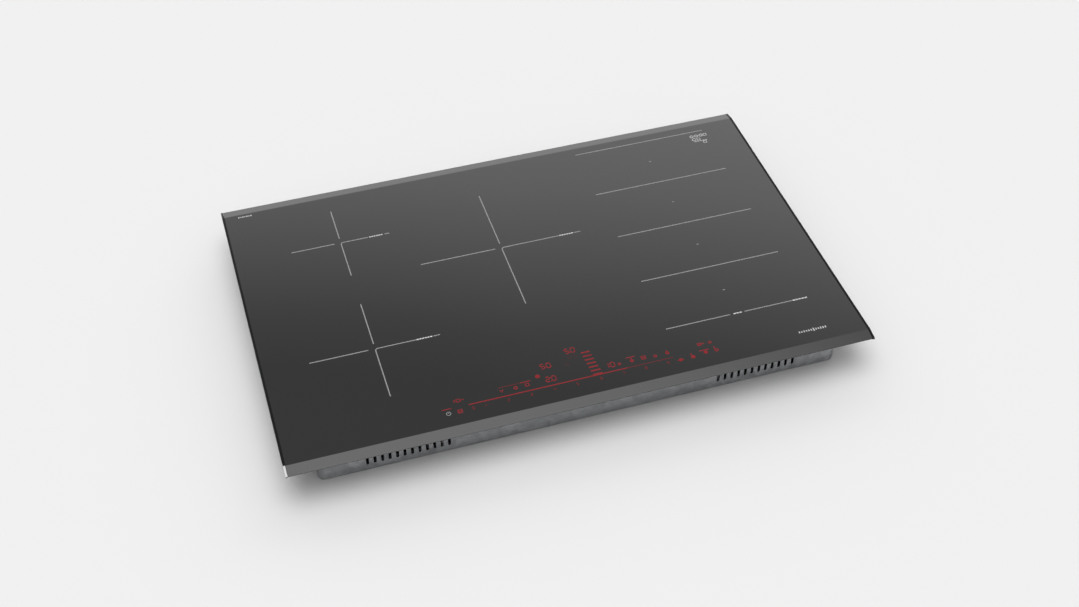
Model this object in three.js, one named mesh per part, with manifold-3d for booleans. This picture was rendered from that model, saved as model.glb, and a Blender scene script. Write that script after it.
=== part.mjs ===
// Built-in induction cooktop, 816 x 527 mm, for a worktop cut-out. Millimetres, +Z up, +X right, +Y to the rear.
// The origin is the middle of the underside of the sheet-steel tray, on which the appliance stands when it is out
// of its cut-out. The worktop would lie at WORKTOP_Z, under the seal.
import * as THREE from "three";
import { mergeVertices } from "three/addons/utils/BufferGeometryUtils.js";
import Module from "manifold-3d";

const wasm = await Module();
wasm.setup();

// ---- driving dimensions --------------------------------------------------------------------------------------

const OVERALL_WIDTH = 816;
const OVERALL_DEPTH = 527;
const WORKTOP_Z = 51; // insertion depth below the worktop
const SEAL_THICK = 2;
const GLASS_THICK = 4;
const GLASS_Z = WORKTOP_Z + SEAL_THICK; // underside of the glass
const GLASS_TOP_Z = GLASS_Z + GLASS_THICK;
const FACET_WIDTH = 16; // bevel along the front and rear edges of the glass
const FACET_DROP = 3.3;

const TRIM_WIDTH = 3; // side profile beside the glass
const TRIM_PROUD = 0.3; // how far it stands above the glass
const TRIM_GAP = 0.25; // glue line between glass and profile

const TRAY_WIDTH = 732;
const TRAY_DEPTH = 478;
const TRAY_CORNER = 9;
const SHEET = 1; // sheet-steel thickness
const FLANGE = 8; // out-turned rim of the tray
const FLANGE_TOP = GLASS_Z - 1.2; // leaves room for the silicone bead

const ZONE_LEFT_X = -251; // the two left zones share this centre line
const FLEX = { x: 245, y: 33.6, pitch: 99.2, width: 200, depth: 92, bore: 22 };
const ROUND_COILS = [
  { name: "rear_left", x: ZONE_LEFT_X, y: 142, rings: [[22, 70]] },
  { name: "front_left", x: ZONE_LEFT_X, y: -82, rings: [[22, 87]] },
  { name: "centre", x: -30, y: 62, rings: [[22, 62], [78, 118]] },
];

// Levels of the coil stack, from the supporting sheet up to the glass.
const PLATE_Z = 40;
const PLATE_THICK = 1.2;
const FERRITE_Z = 41.5;
const FORMER_Z = 44.5;
const FORMER_THICK = 2;
const WINDING_Z = 47.2;
const WINDING_THICK = 4.4;
const INSULATION_Z = 52;
const INSULATION_THICK = 0.6;
const HUB_RADIUS = 8;
const HUB_BORE = 5.4;
const HUB_TOP = 48.6;
const SENSOR_TOP = GLASS_Z - 0.1;

const BOARD_Z = 7;
const BOARD_THICK = 1.6;
const MODULE_X = 245; // the two inverter modules stand at plus and minus this
const BLOWER_Y = 165;
const BLOWER_Z = 3;
const BLOWER_HEIGHT = 28;
const BLOWER_WALL = 1.6;
const IMPELLER_RADIUS = 36;
const SPINDLE_RADIUS = 2.4;
const VOLUTE = { tight: 41, widen: 13, mouth: -66, tongue: -8, tongueAngle: 1.75, steps: 24 };

const BOX = { left: 12, right: 122, front: 196, low: 5, high: 47, wall: 2 }; // mains connection box
const BOX_REAR = TRAY_DEPTH / 2 + 1.6;
const COVER = { left: 46, right: 116, low: 7, high: 45, thick: 1.8 };
const COVER_PIN = { radius: 0.9, reach: 3.1, clearance: 0.3 };
const GLAND = { x: 28, z: 26, bore: 5.5, thread: 8, collar: 11 };

const PANEL = {
  halfWidth: 205, tabHalfWidth: 62, front: -235, shoulder: -182, rear: -152, low: 41, wall: 1.5, board: 44.5,
};
const KEY_Y = -225;
const KEY_X = [-186, -152, -136, -104, -72, -40, -8, 25, 57, 88, 120, 156, 190];

// ---- materials -----------------------------------------------------------------------------------------------

const finish = (color, roughness, metalness = 0) =>
  new THREE.MeshStandardMaterial({ color, roughness, metalness });
const glassCeramic = finish(0x101113, 0.08);
const darkTrim = finish(0x2b2c2e, 0.3, 0.9);
const sealFoam = finish(0x3a3b3d, 0.95);
const silicone = finish(0x1a1a1a, 0.6);
const galvanised = finish(0xa9adb0, 0.42, 0.85);
const springSteel = finish(0x8e9296, 0.3, 0.95);
const blackPlastic = finish(0x17181a, 0.5);
const greyPlastic = finish(0x55585b, 0.6);
const aluminium = finish(0xc4c7c9, 0.35, 0.9);
const copper = finish(0xa8623a, 0.4, 0.9);
const mica = finish(0xcfc6ae, 0.7);
const ceramic = finish(0xe8e6df, 0.5);
const boardGreen = finish(0x1d4a2e, 0.5);
const lightGuide = finish(0xb43434, 0.3);
const ribbonGrey = finish(0x8c8f92, 0.6);
const capacitorYellow = finish(0xb9a14a, 0.5);

// ---- shape helpers -------------------------------------------------------------------------------------------

// A closed geometry as a solid that can be joined and cut.
function solid(geometry) {
  const bare = geometry.clone();
  bare.deleteAttribute("normal");
  bare.deleteAttribute("uv");
  const merged = mergeVertices(bare, 1e-4);
  return new wasm.Manifold(
    new wasm.Mesh({
      numProp: 3,
      vertProperties: new Float32Array(merged.attributes.position.array),
      triVerts: new Uint32Array(merged.index.array),
    }),
  );
}

function geometryOf(manifold) {
  const mesh = manifold.getMesh();
  return new THREE.BufferGeometry()
    .setAttribute("position", new THREE.BufferAttribute(mesh.vertProperties, 3))
    .setIndex(new THREE.BufferAttribute(mesh.triVerts, 1));
}

const joined = (solids) => solids.reduce((all, one) => all.add(one));
const cutBy = (body, cutters) => (cutters.length ? body.subtract(joined(cutters)) : body);

// A box from its low corner to its high corner.
function block(x0, y0, z0, x1, y1, z1) {
  return solid(
    new THREE.BoxGeometry(x1 - x0, y1 - y0, z1 - z0).translate((x0 + x1) / 2, (y0 + y1) / 2, (z0 + z1) / 2),
  );
}

// A rounded rectangle about the origin, as a closed outline.
function roundedOutline(Outline, width, depth, radius) {
  const x = width / 2 - radius;
  const y = depth / 2 - radius;
  return new Outline()
    .absarc(x, y, radius, 0, Math.PI / 2)
    .absarc(-x, y, radius, Math.PI / 2, Math.PI)
    .absarc(-x, -y, radius, Math.PI, Math.PI * 1.5)
    .absarc(x, -y, radius, Math.PI * 1.5, Math.PI * 2)
    .closePath();
}

function roundedPlate(width, depth, radius, z0, z1, hole = null, curveSegments = 3) {
  const shape = roundedOutline(THREE.Shape, width, depth, radius);
  if (hole) shape.holes.push(roundedOutline(THREE.Path, hole.width, hole.depth, hole.radius));
  return new THREE.ExtrudeGeometry(shape, { depth: z1 - z0, bevelEnabled: false, curveSegments }).translate(0, 0, z0);
}

function disc(radius, z0, z1, segments = 32, x = 0, y = 0) {
  return solid(
    new THREE.CylinderGeometry(radius, radius, z1 - z0, segments)
      .rotateX(Math.PI / 2)
      .translate(x, y, (z0 + z1) / 2),
  );
}

// A profile of [radius, height] pairs turned about Z.
function turned(profile, segments = 20) {
  const points = profile.map(([r, z]) => new THREE.Vector2(r, z));
  return new THREE.LatheGeometry(points, segments).rotateX(Math.PI / 2);
}

// An outline in the plane of the first two axes given, extruded along the third from a to b.
function extrudedAlongX(points, a, b) {
  const shape = new THREE.Shape(points.map(([y, z]) => new THREE.Vector2(y, z)));
  return new THREE.ExtrudeGeometry(shape, { depth: b - a, bevelEnabled: false })
    .rotateX(Math.PI / 2)
    .rotateZ(Math.PI / 2)
    .translate(a, 0, 0);
}

function extrudedAlongY(points, a, b) {
  const shape = new THREE.Shape(points.map(([x, z]) => new THREE.Vector2(x, z)));
  return new THREE.ExtrudeGeometry(shape, { depth: b - a, bevelEnabled: false })
    .rotateX(Math.PI / 2)
    .translate(0, b, 0);
}

const cooktop = new THREE.Group();

function add(name, geometry, material, parent = cooktop) {
  const shape = geometry.isBufferGeometry ? geometry : geometryOf(geometry);
  const mesh = new THREE.Mesh(shape, material);
  mesh.name = name;
  parent.add(mesh);
  return mesh;
}

// ---- glass, side profiles and seals --------------------------------------------------------------------------

// The side view of the glass: flat on top, bevelled to a thin edge at front and rear.
function glassSection(halfDepth, low, high) {
  return [
    [-halfDepth, low],
    [halfDepth, low],
    [halfDepth, high - FACET_DROP],
    [halfDepth - FACET_WIDTH, high],
    [-halfDepth + FACET_WIDTH, high],
    [-halfDepth, high - FACET_DROP],
  ];
}

function glassTop() {
  const half = OVERALL_WIDTH / 2 - TRIM_WIDTH - TRIM_GAP;
  return extrudedAlongX(glassSection(OVERALL_DEPTH / 2, GLASS_Z, GLASS_TOP_Z), -half, half);
}

// An L-shaped extrusion: a bar beside the glass and a thin foot that is glued under it.
function sideTrim() {
  const outer = OVERALL_WIDTH / 2;
  const inner = outer - TRIM_WIDTH;
  const low = GLASS_Z - 1.4;
  const footWidth = 6;
  const footGap = 0.3;
  const section = glassSection(OVERALL_DEPTH / 2, low, GLASS_TOP_Z + TRIM_PROUD);
  const bar = solid(extrudedAlongX(section, inner, outer));
  const reach = OVERALL_DEPTH / 2 - 6;
  return bar.add(block(inner - footWidth, -reach, low, inner + 0.5, reach, GLASS_Z - footGap));
}

function worktopSeal() {
  const outer = { width: 797, depth: 521, radius: 6 };
  const inner = { width: 783, depth: 503, radius: 4 };
  return roundedPlate(outer.width, outer.depth, outer.radius, WORKTOP_Z, GLASS_Z - 0.05, inner);
}

function adhesiveBead() {
  const hole = { width: TRAY_WIDTH + 2, depth: TRAY_DEPTH + 2, radius: TRAY_CORNER };
  const wide = FLANGE * 1.5;
  return roundedPlate(
    hole.width + wide, hole.depth + wide, TRAY_CORNER + 5, FLANGE_TOP + 0.05, GLASS_Z - 0.05, hole,
  );
}

add("glass_ceramic_top", glassTop(), glassCeramic);
add("side_trim_right", sideTrim(), darkTrim);
add("side_trim_left", sideTrim(), darkTrim).rotation.z = Math.PI;
add("worktop_seal", worktopSeal(), sealFoam);
add("adhesive_bead", adhesiveBead(), silicone);

// ---- sheet-steel tray ----------------------------------------------------------------------------------------

const SLOT_WIDTH = 4;
const SPRING_Y = [-165, 165];
const SPRING_WIDTH = 24;
const HOOK_SLOT = { low: 43.2, high: 47.6 };

// The blower's air intake: slots that fill a circle in the tray's floor.
function intakeSlots(x, y) {
  const radius = 46;
  const pitch = 9.6;
  return [-4, -3, -2, -1, 0, 1, 2, 3, 4].map((row) => {
    const dy = row * pitch;
    const reach = Math.sqrt(radius * radius - dy * dy);
    return block(x - reach, y + dy - SLOT_WIDTH / 2, -1, x + reach, y + dy + SLOT_WIDTH / 2, SHEET + 1);
  });
}

// Warm air leaves through upright slots in the front wall, in front of each module.
function exhaustSlots(x) {
  const count = 12;
  const pitch = 10;
  const front = -TRAY_DEPTH / 2;
  return Array.from({ length: count }, (_, i) => {
    const centre = x + (i - (count - 1) / 2) * pitch;
    return block(centre - SLOT_WIDTH / 2, front - 1, 12, centre + SLOT_WIDTH / 2, front + SHEET + 1, 36);
  });
}

function tray() {
  const flangeHole = {
    width: TRAY_WIDTH - 2 * SHEET,
    depth: TRAY_DEPTH - 2 * SHEET,
    radius: TRAY_CORNER - SHEET,
  };
  const pan = solid(roundedPlate(TRAY_WIDTH, TRAY_DEPTH, TRAY_CORNER, 0, FLANGE_TOP));
  const flange = solid(
    roundedPlate(
      TRAY_WIDTH + 2 * FLANGE, TRAY_DEPTH + 2 * FLANGE, TRAY_CORNER + FLANGE, FLANGE_TOP - SHEET, FLANGE_TOP,
    ),
  );
  const inside = solid(
    roundedPlate(flangeHole.width, flangeHole.depth, flangeHole.radius, SHEET, FLANGE_TOP + 1),
  );
  const wallX = TRAY_WIDTH / 2;
  const cutters = [inside];
  for (const side of [-1, 1]) {
    cutters.push(...intakeSlots(side * MODULE_X, BLOWER_Y), ...exhaustSlots(side * MODULE_X));
    for (const y of SPRING_Y) {
      const reach = SPRING_WIDTH / 2 + 1;
      const [a, b] = [side * (wallX - SHEET - 1), side * (wallX + 1)].sort((p, q) => p - q);
      cutters.push(block(a, y - reach, HOOK_SLOT.low, b, y + reach, HOOK_SLOT.high));
    }
  }
  const margin = 0.4;
  const rear = TRAY_DEPTH / 2;
  cutters.push(
    block(BOX.left - margin, rear - SHEET - 1, BOX.low - margin, BOX.right + margin, rear + 1, BOX.high + margin),
  );
  return cutBy(pan.add(flange), cutters);
}

add("bottom_tray", tray(), galvanised);

// ---- fixing springs ------------------------------------------------------------------------------------------

// A strip bent from spring steel. It hooks through a slot in the tray's side wall, bulges outwards against the
// cut-out and runs back in at its free end. Drawn for the right wall, with the wall's outer face at x = 0.
function fixingSpring() {
  const thick = 1;
  const middle = [
    [-4.2, 39],
    [-4.2, 45.4],
    [2.4, 45.4],
    [3.6, 42],
    [17, 27],
    [17, 24],
    [10, 8],
  ];
  const outline = offsetBand(middle, thick / 2);
  return extrudedAlongY(outline, -SPRING_WIDTH / 2, SPRING_WIDTH / 2);
}

// The two sides of a bent strip, from its middle line, as one closed outline.
function offsetBand(middle, half) {
  const left = [];
  const right = [];
  middle.forEach(([x, z], i) => {
    const before = middle[Math.max(i - 1, 0)];
    const after = middle[Math.min(i + 1, middle.length - 1)];
    const unit = ([ax, az], [bx, bz]) => {
      const length = Math.hypot(bx - ax, bz - az) || 1;
      return [(bx - ax) / length, (bz - az) / length];
    };
    const into = i ? unit(before, [x, z]) : unit([x, z], after);
    const outOf = i < middle.length - 1 ? unit([x, z], after) : into;
    const normal = [-(into[1] + outOf[1]), into[0] + outOf[0]];
    const size = Math.hypot(...normal);
    const mitre = half / ((-into[1] * normal[0] + into[0] * normal[1]) / size);
    const step = [(normal[0] / size) * mitre, (normal[1] / size) * mitre];
    left.push([x + step[0], z + step[1]]);
    right.push([x - step[0], z - step[1]]);
  });
  return [...left, ...right.reverse()];
}

for (const side of [-1, 1]) {
  for (const y of SPRING_Y) {
    const name = `fixing_spring_${y < 0 ? "front" : "rear"}_${side < 0 ? "left" : "right"}`;
    const spring = add(name, fixingSpring(), springSteel);
    spring.position.set((side * TRAY_WIDTH) / 2, y, 0);
    if (side < 0) spring.rotation.z = Math.PI;
  }
}

// ---- mains connection box ------------------------------------------------------------------------------------

// A plastic box let into the rear wall, open to the rear behind its cover, with a hole for the cable gland beside
// the cover's doorway.
function connectionBox() {
  const { left, right, front, low, high, wall } = BOX;
  const hinge = 1.2;
  const ears = [COVER.left - 3.4, COVER.right + 0.4].map((x) =>
    block(x, BOX_REAR - 1, COVER.low - 1.9, x + 3, BOX_REAR + 2.3, COVER.low + 2.2),
  );
  const pinHole = disc(COVER_PIN.radius + COVER_PIN.clearance, COVER.left - 6, COVER.right + 5, 16)
    .rotate([0, 90, 0])
    .translate([0, BOX_REAR + 0.1, COVER.low]);
  const body = joined([block(left, front, low, right, BOX_REAR, high), ...ears]);
  const hollow = block(left + wall, front + wall, low + wall, right - wall, BOX_REAR - wall, high - wall);
  const doorway = block(
    COVER.left + 3, BOX_REAR - wall - 1, COVER.low + 3, COVER.right - 3, BOX_REAR + 1, COVER.high - 3,
  );
  const coverSeat = block(
    COVER.left - 0.4, BOX_REAR - hinge, COVER.low - 0.4, COVER.right + 0.4, BOX_REAR + 1, COVER.high + 0.4,
  );
  const glandHole = disc(GLAND.thread + 0.3, -5, 5, 24)
    .rotate([90, 0, 0])
    .translate([GLAND.x, BOX_REAR, GLAND.z]);
  return cutBy(body, [hollow, doorway, coverSeat, pinHole, glandHole]);
}

// A flap on two pins at its lower edge, which turn in the box's ears, with a small finger lip at its top.
function connectionCover() {
  const half = (COVER.right - COVER.left) / 2;
  const flap = block(-half, -COVER.thick / 2, 0, half, COVER.thick / 2, COVER.high - COVER.low);
  const lip = block(-9, COVER.thick / 2 - 0.1, 33, 9, COVER.thick / 2 + 1.6, 35);
  const reach = half + COVER_PIN.reach;
  const pin = disc(COVER_PIN.radius, -reach, reach, 16).rotate([0, 90, 0]);
  return joined([flap, lip, pin]);
}

// A screwed gland: thread through the wall, collar outside, lock nut inside, and the bore for the mains cable.
function cableGland() {
  const { bore, thread, collar } = GLAND;
  const profile = [
    [bore, -14],
    [thread, -14],
    [thread, -9],
    [collar, -9],
    [collar, -4.6],
    [thread, -4.6],
    [thread, -1.7],
    [collar, -1.7],
    [collar, 1.4],
    [collar - 2, 2.6],
    [bore, 2.6],
    [bore, -14],
  ];
  return turned(profile, 16);
}

function terminalBlock() {
  const poles = 5;
  const pitch = 13;
  const base = block(0, 0, 0, poles * pitch, 18, 15);
  const wells = Array.from({ length: poles }, (_, i) => {
    const x = (i + 0.5) * pitch;
    return block(x - 4, 9, 4, x + 4, 19, 11);
  });
  const screwWells = Array.from({ length: poles }, (_, i) => disc(3, 9, 16, 8, (i + 0.5) * pitch, 6));
  return cutBy(base, [...wells, ...screwWells]);
}

add("connection_box", connectionBox(), blackPlastic);
const cover = add("connection_box_cover", connectionCover(), blackPlastic);
cover.position.set((COVER.left + COVER.right) / 2, BOX_REAR + 0.1, COVER.low);
const gland = add("cable_gland", cableGland(), blackPlastic);
gland.rotation.x = -Math.PI / 2;
gland.position.set(GLAND.x, BOX_REAR + 1.9, GLAND.z);
add("terminal_block", terminalBlock(), ceramic).position.set(49, BOX.front + BOX.wall + 0.3, BOX.low + BOX.wall + 0.3);

// ---- coils ---------------------------------------------------------------------------------------------------

const ringSegments = (radius) => (radius > 100 ? 36 : 24);

function roundWinding(inner, outer) {
  return turned(
    [
      [inner, 0],
      [outer, 0],
      [outer, WINDING_THICK],
      [inner, WINDING_THICK],
      [inner, 0],
    ],
    ringSegments(outer),
  );
}

// A former's hub stands on the aluminium plate and guides the temperature sensor in its bore.
function withHub(floor) {
  const hub = disc(HUB_RADIUS, FERRITE_Z, HUB_TOP, 12);
  return floor.add(hub).subtract(disc(HUB_BORE, FERRITE_Z - 1, HUB_TOP + 1, 12));
}

// The plastic former under a round coil, with windows between the spokes that carry the winding.
function roundFormer(outer) {
  const spokes = 6;
  const floor = disc(outer + 3, FORMER_Z, FORMER_Z + FORMER_THICK, ringSegments(outer));
  const width = (Math.PI * (outer + 20)) / spokes / 3.2;
  const windows = Array.from({ length: spokes }, (_, i) =>
    block(26, -width / 2, FORMER_Z - 1, outer - 8, width / 2, FORMER_Z + 4).rotate([0, 0, ((i + 0.5) * 360) / spokes]),
  );
  return withHub(cutBy(floor, windows));
}

// A plate whose ends are half circles, with straight sides along X.
function stadiumPlate(width, depth, z0, z1, hole = null) {
  const radius = (d) => d / 2 - 0.01;
  const inner = hole && { ...hole, radius: radius(hole.depth) };
  return roundedPlate(width, depth, radius(depth), z0, z1, inner, 4);
}

const FLEX_HOLE = { width: FLEX.width - FLEX.depth + FLEX.bore, depth: FLEX.bore };

function flexFormer() {
  const floor = solid(stadiumPlate(FLEX.width + 4, FLEX.depth + 4, FORMER_Z, FORMER_Z + FORMER_THICK));
  const windows = [-62, -20, 20, 62].map((x) => block(x - 12, -36, FORMER_Z - 1, x + 12, 36, FORMER_Z + 4));
  return withHub(cutBy(floor, windows));
}

// A spring-loaded temperature sensor: its cap presses on the underside of the glass and its stem slides in the hub.
function sensor() {
  const capRadius = 6.8;
  const stemRadius = 4.8;
  const capLow = SENSOR_TOP - 2;
  return turned(
    [
      [0, 44],
      [stemRadius, 44],
      [stemRadius, capLow],
      [capRadius, capLow],
      [capRadius, SENSOR_TOP - 0.4],
      [capRadius - 0.8, SENSOR_TOP],
      [0, SENSOR_TOP],
    ],
    10,
  );
}

for (const coil of ROUND_COILS) {
  const outer = coil.rings.at(-1)[1];
  const group = new THREE.Group();
  group.position.set(coil.x, coil.y, 0);
  cooktop.add(group);
  coil.rings.forEach(([inner, ringOuter], i) => {
    const part = coil.rings.length > 1 ? ["_inner", "_outer"][i] : "";
    add(`coil_winding_${coil.name}${part}`, roundWinding(inner, ringOuter), copper, group).position.z = WINDING_Z;
  });
  add(`coil_former_${coil.name}`, roundFormer(outer), greyPlastic, group);
  add(`temperature_sensor_${coil.name}`, sensor(), ceramic, group);
}

for (let row = 1; row <= 4; row++) {
  const group = new THREE.Group();
  group.position.set(FLEX.x, FLEX.y + (2.5 - row) * FLEX.pitch, 0);
  cooktop.add(group);
  const winding = stadiumPlate(FLEX.width, FLEX.depth, WINDING_Z, WINDING_Z + WINDING_THICK, FLEX_HOLE);
  add(`coil_winding_flex_${row}`, winding, copper, group);
  add(`coil_former_flex_${row}`, flexFormer(), greyPlastic, group);
  add(`temperature_sensor_flex_${row}`, sensor(), ceramic, group);
}

// The aluminium sheet that carries a group of coils, on four bent legs, and the mica sheet that covers them.
const COIL_GROUPS = [
  { name: "left", x: [-342, -160], y: [-177, 222], sensors: [[ZONE_LEFT_X, 142], [ZONE_LEFT_X, -82]] },
  { name: "centre", x: [-156, 96], y: [-64, 188], sensors: [[-30, 62]] },
  {
    name: "flex",
    x: [138, 354],
    y: [-170, 236],
    sensors: [1, 2, 3, 4].map((row) => [FLEX.x, FLEX.y + (2.5 - row) * FLEX.pitch]),
  },
];

function coilPlate({ x, y, sensors }) {
  const legWidth = 14;
  const parts = [block(x[0], y[0], PLATE_Z, x[1], y[1], PLATE_Z + PLATE_THICK)];
  for (const legX of [x[0], x[1] - PLATE_THICK]) {
    for (const legY of [y[0] + 4, y[1] - legWidth - 4]) {
      parts.push(block(legX, legY, SHEET + 0.2, legX + PLATE_THICK, legY + legWidth, PLATE_Z + 0.5));
    }
  }
  const leadHoles = sensors.map(([sx, sy]) => disc(7, PLATE_Z - 1, PLATE_Z + 3, 12, sx + 14, sy));
  return cutBy(joined(parts), leadHoles);
}

function insulationSheet({ x, y, sensors }) {
  const inset = 2;
  const low = INSULATION_Z;
  const sheet = block(x[0] + inset, y[0] + inset, low, x[1] - inset, y[1] - inset, low + INSULATION_THICK);
  return cutBy(sheet, sensors.map(([sx, sy]) => disc(9, low - 1, low + 2, 14, sx, sy)));
}

for (const group of COIL_GROUPS) {
  add(`coil_plate_${group.name}`, coilPlate(group), aluminium);
  add(`insulation_sheet_${group.name}`, insulationSheet(group), mica);
}

// ---- inverter modules and blowers ----------------------------------------------------------------------------

const HEATSINK = { width: 84, front: -96, rear: 72, base: 4, height: 28, fins: 13, fin: 1.6 };
const INVERTER = { half: 78, front: -150, rear: 92 };

// A comb-shaped extrusion with its fins along Y, in line with the blower's outlet.
function heatsink() {
  const { width, front, rear, base, height, fins, fin } = HEATSINK;
  const pitch = (width - fin) / (fins - 1);
  const outline = [[-width / 2, 0], [width / 2, 0]];
  for (let i = fins - 1; i >= 0; i--) {
    const x = -width / 2 + i * pitch;
    outline.push([x + fin, base], [x + fin, height], [x, height], [x, base]);
  }
  const tidy = outline.filter(([x, z], i) => i < 2 || z !== base || Math.abs(x) < width / 2 - 0.01);
  return extrudedAlongY(tidy, front, rear);
}

// Printed board with its tall parts: two rows of power transistors, relays and plug sockets.
function inverterBoard() {
  const top = BOARD_Z + BOARD_THICK;
  const { half, front, rear } = INVERTER;
  const sink = HEATSINK.width / 2;
  const parts = [block(-half, front, BOARD_Z, half, rear, top)];
  for (const side of [-1, 1]) {
    for (let i = 0; i < 4; i++) {
      const y = HEATSINK.front + 14 + i * 42;
      const [a, b] = [side * (sink + 1.5), side * (sink + 6)].sort((p, q) => p - q);
      parts.push(block(a, y, top - 0.4, b, y + 16, top + 20));
    }
  }
  for (const x of [-74, -52]) parts.push(block(x, -142, top - 0.4, x + 18, -114, top + 15));
  for (let i = 0; i < 4; i++) parts.push(block(54, -52 + i * 30, top - 0.4, 68, -38 + i * 30, top + 9));
  return joined(parts);
}

// The blower in plan: a spiral that opens clockwise from its tongue, and runs out to a mouth facing the heatsink.
// "grow" offsets it outwards by the wall's thickness.
function voluteShape(grow) {
  const { tight, widen, mouth, tongue, tongueAngle, steps } = VOLUTE;
  const start = tongueAngle + grow * 0.04;
  const points = Array.from({ length: steps + 1 }, (_, i) => {
    const share = i / steps;
    const angle = -start - (2 * Math.PI - start) * share;
    const radius = tight + grow + widen * share;
    return new THREE.Vector2(radius * Math.cos(angle), radius * Math.sin(angle));
  });
  points.push(new THREE.Vector2(tight + widen + grow, mouth), new THREE.Vector2(tongue - grow, mouth));
  return new THREE.Shape(points);
}

function blowerHousing() {
  const { tight, widen, mouth, tongue } = VOLUTE;
  const depth = BLOWER_HEIGHT;
  const wall = BLOWER_WALL;
  const outer = solid(new THREE.ExtrudeGeometry(voluteShape(wall), { depth, bevelEnabled: false }));
  const inner = solid(
    new THREE.ExtrudeGeometry(voluteShape(0), { depth: depth - 2 * wall, bevelEnabled: false }).translate(0, 0, wall),
  );
  const outlet = block(tongue, mouth - 2, wall, tight + widen, mouth + 2, depth - wall);
  const inlet = disc(27, -1, wall + 1, 28);
  const spindle = disc(SPINDLE_RADIUS, depth - 20, depth - wall / 2, 16);
  return cutBy(outer, [inner, outlet, inlet]).add(spindle);
}

// A drum impeller with forward-curved blades between a back plate and a thin ring, and the motor's cup as its hub.
function impeller() {
  const blades = 15;
  const low = BLOWER_WALL + 1.4;
  const high = BLOWER_HEIGHT - BLOWER_WALL - 1.4;
  const bladeLength = 11;
  const parts = [
    disc(IMPELLER_RADIUS, high - 1.2, high, 24),
    disc(12, low + 3, high, 16),
    disc(IMPELLER_RADIUS, low, low + 1.6, 24).subtract(disc(IMPELLER_RADIUS - 2.4, low - 1, low + 3, 24)),
  ];
  const blade = block(-bladeLength / 2, -0.6, low + 0.6, bladeLength / 2, 0.6, high - 0.4).rotate([0, 0, 38]);
  for (let i = 0; i < blades; i++) {
    parts.push(blade.translate([IMPELLER_RADIUS - 5.4, 0, 0]).rotate([0, 0, (i * 360) / blades]));
  }
  return joined(parts)
    .intersect(disc(IMPELLER_RADIUS, low - 1, high + 1, 24))
    .subtract(disc(SPINDLE_RADIUS + 0.3, low, high + 1, 16));
}

// A ring core wound with thick wire, and a film capacitor in its moulded case.
const filterChoke = () => new THREE.TorusGeometry(15, 6.5, 6, 16);
const filmCapacitor = () => new THREE.BoxGeometry(40, 21, 26);

for (const side of [-1, 1]) {
  const hand = side < 0 ? "left" : "right";
  const group = new THREE.Group();
  group.position.set(side * MODULE_X, 0, 0);
  cooktop.add(group);
  add(`inverter_board_${hand}`, inverterBoard(), boardGreen, group);
  add(`heatsink_${hand}`, heatsink(), aluminium, group).position.z = BOARD_Z + BOARD_THICK + 0.3;
  add(`blower_housing_${hand}`, blowerHousing(), blackPlastic, group).position.set(0, BLOWER_Y, BLOWER_Z);
  add(`blower_impeller_${hand}`, impeller(), greyPlastic, group).position.set(0, BLOWER_Y, BLOWER_Z);
  const boardTop = BOARD_Z + BOARD_THICK + 0.3;
  add(`filter_choke_${hand}`, filterChoke(), copper, group).position.set(0, -123, boardTop + 6.5);
  add(`film_capacitor_${hand}`, filmCapacitor(), capacitorYellow, group).position.set(52, -124, boardTop + 13);
}

// The mains filter between the connection box and the two modules: a board with its relay, fuse and capacitors.
function mainsFilterBoard() {
  const top = BOARD_Z + BOARD_THICK;
  return joined([
    block(-48, 98, BOARD_Z, 86, 182, top),
    block(-40, 106, top - 0.4, -8, 120, top + 20),
    block(-40, 128, top - 0.4, -8, 142, top + 20),
    block(4, 106, top - 0.4, 32, 134, top + 17),
    block(44, 160, top - 0.4, 80, 174, top + 12),
    disc(9, top - 0.4, top + 24, 14, 60, 118),
    disc(9, top - 0.4, top + 24, 14, 60, 140),
  ]);
}

add("mains_filter_board", mainsFilterBoard(), boardGreen);

// ---- control panel -------------------------------------------------------------------------------------------

// The control panel under the front of the glass is wide, with a tab to the rear in its middle for the display.
function panelOutline(inset) {
  const { halfWidth, tabHalfWidth, front, shoulder, rear } = PANEL;
  const x = halfWidth - inset;
  const tab = tabHalfWidth - inset;
  return [
    [-x, front + inset], [x, front + inset], [x, shoulder - inset], [tab, shoulder - inset],
    [tab, rear - inset], [-tab, rear - inset], [-tab, shoulder - inset], [-x, shoulder - inset],
  ];
}

function panelPlate(inset, z0, z1) {
  const shape = new THREE.Shape(panelOutline(inset).map(([x, y]) => new THREE.Vector2(x, y)));
  return solid(new THREE.ExtrudeGeometry(shape, { depth: z1 - z0, bevelEnabled: false }).translate(0, 0, z0));
}

// A shallow moulded tray on four posts, which keeps the board pressed up to the glass.
function panelCarrier() {
  const { low, wall, halfWidth, front, shoulder } = PANEL;
  const shell = panelPlate(0, low, GLASS_Z - 0.3).subtract(panelPlate(wall, low + wall, GLASS_Z + 1));
  const posts = [-1, 1].flatMap((side) =>
    [front + 8, shoulder - 8].map((y) => {
      const x = side * (halfWidth - 10);
      return block(x - 4, y - 4, SHEET + 0.2, x + 4, y + 4, low + 0.5);
    }),
  );
  const bosses = [-150, -50, 50, 150].map((x) => disc(3, low + 1, PANEL.board - 0.3, 8, x, front + 20));
  return joined([shell, ...posts, ...bosses]);
}

// The board carries one conductive key pad for each touch key, each reaching almost to the glass.
function panelBoard() {
  const board = panelPlate(PANEL.wall + 0.5, PANEL.board, PANEL.board + 1.6);
  const pads = KEY_X.map((x) => block(x - 4, KEY_Y - 4, PANEL.board + 1, x + 4, KEY_Y + 4, GLASS_Z - 0.3));
  return joined([board, ...pads]);
}

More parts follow.
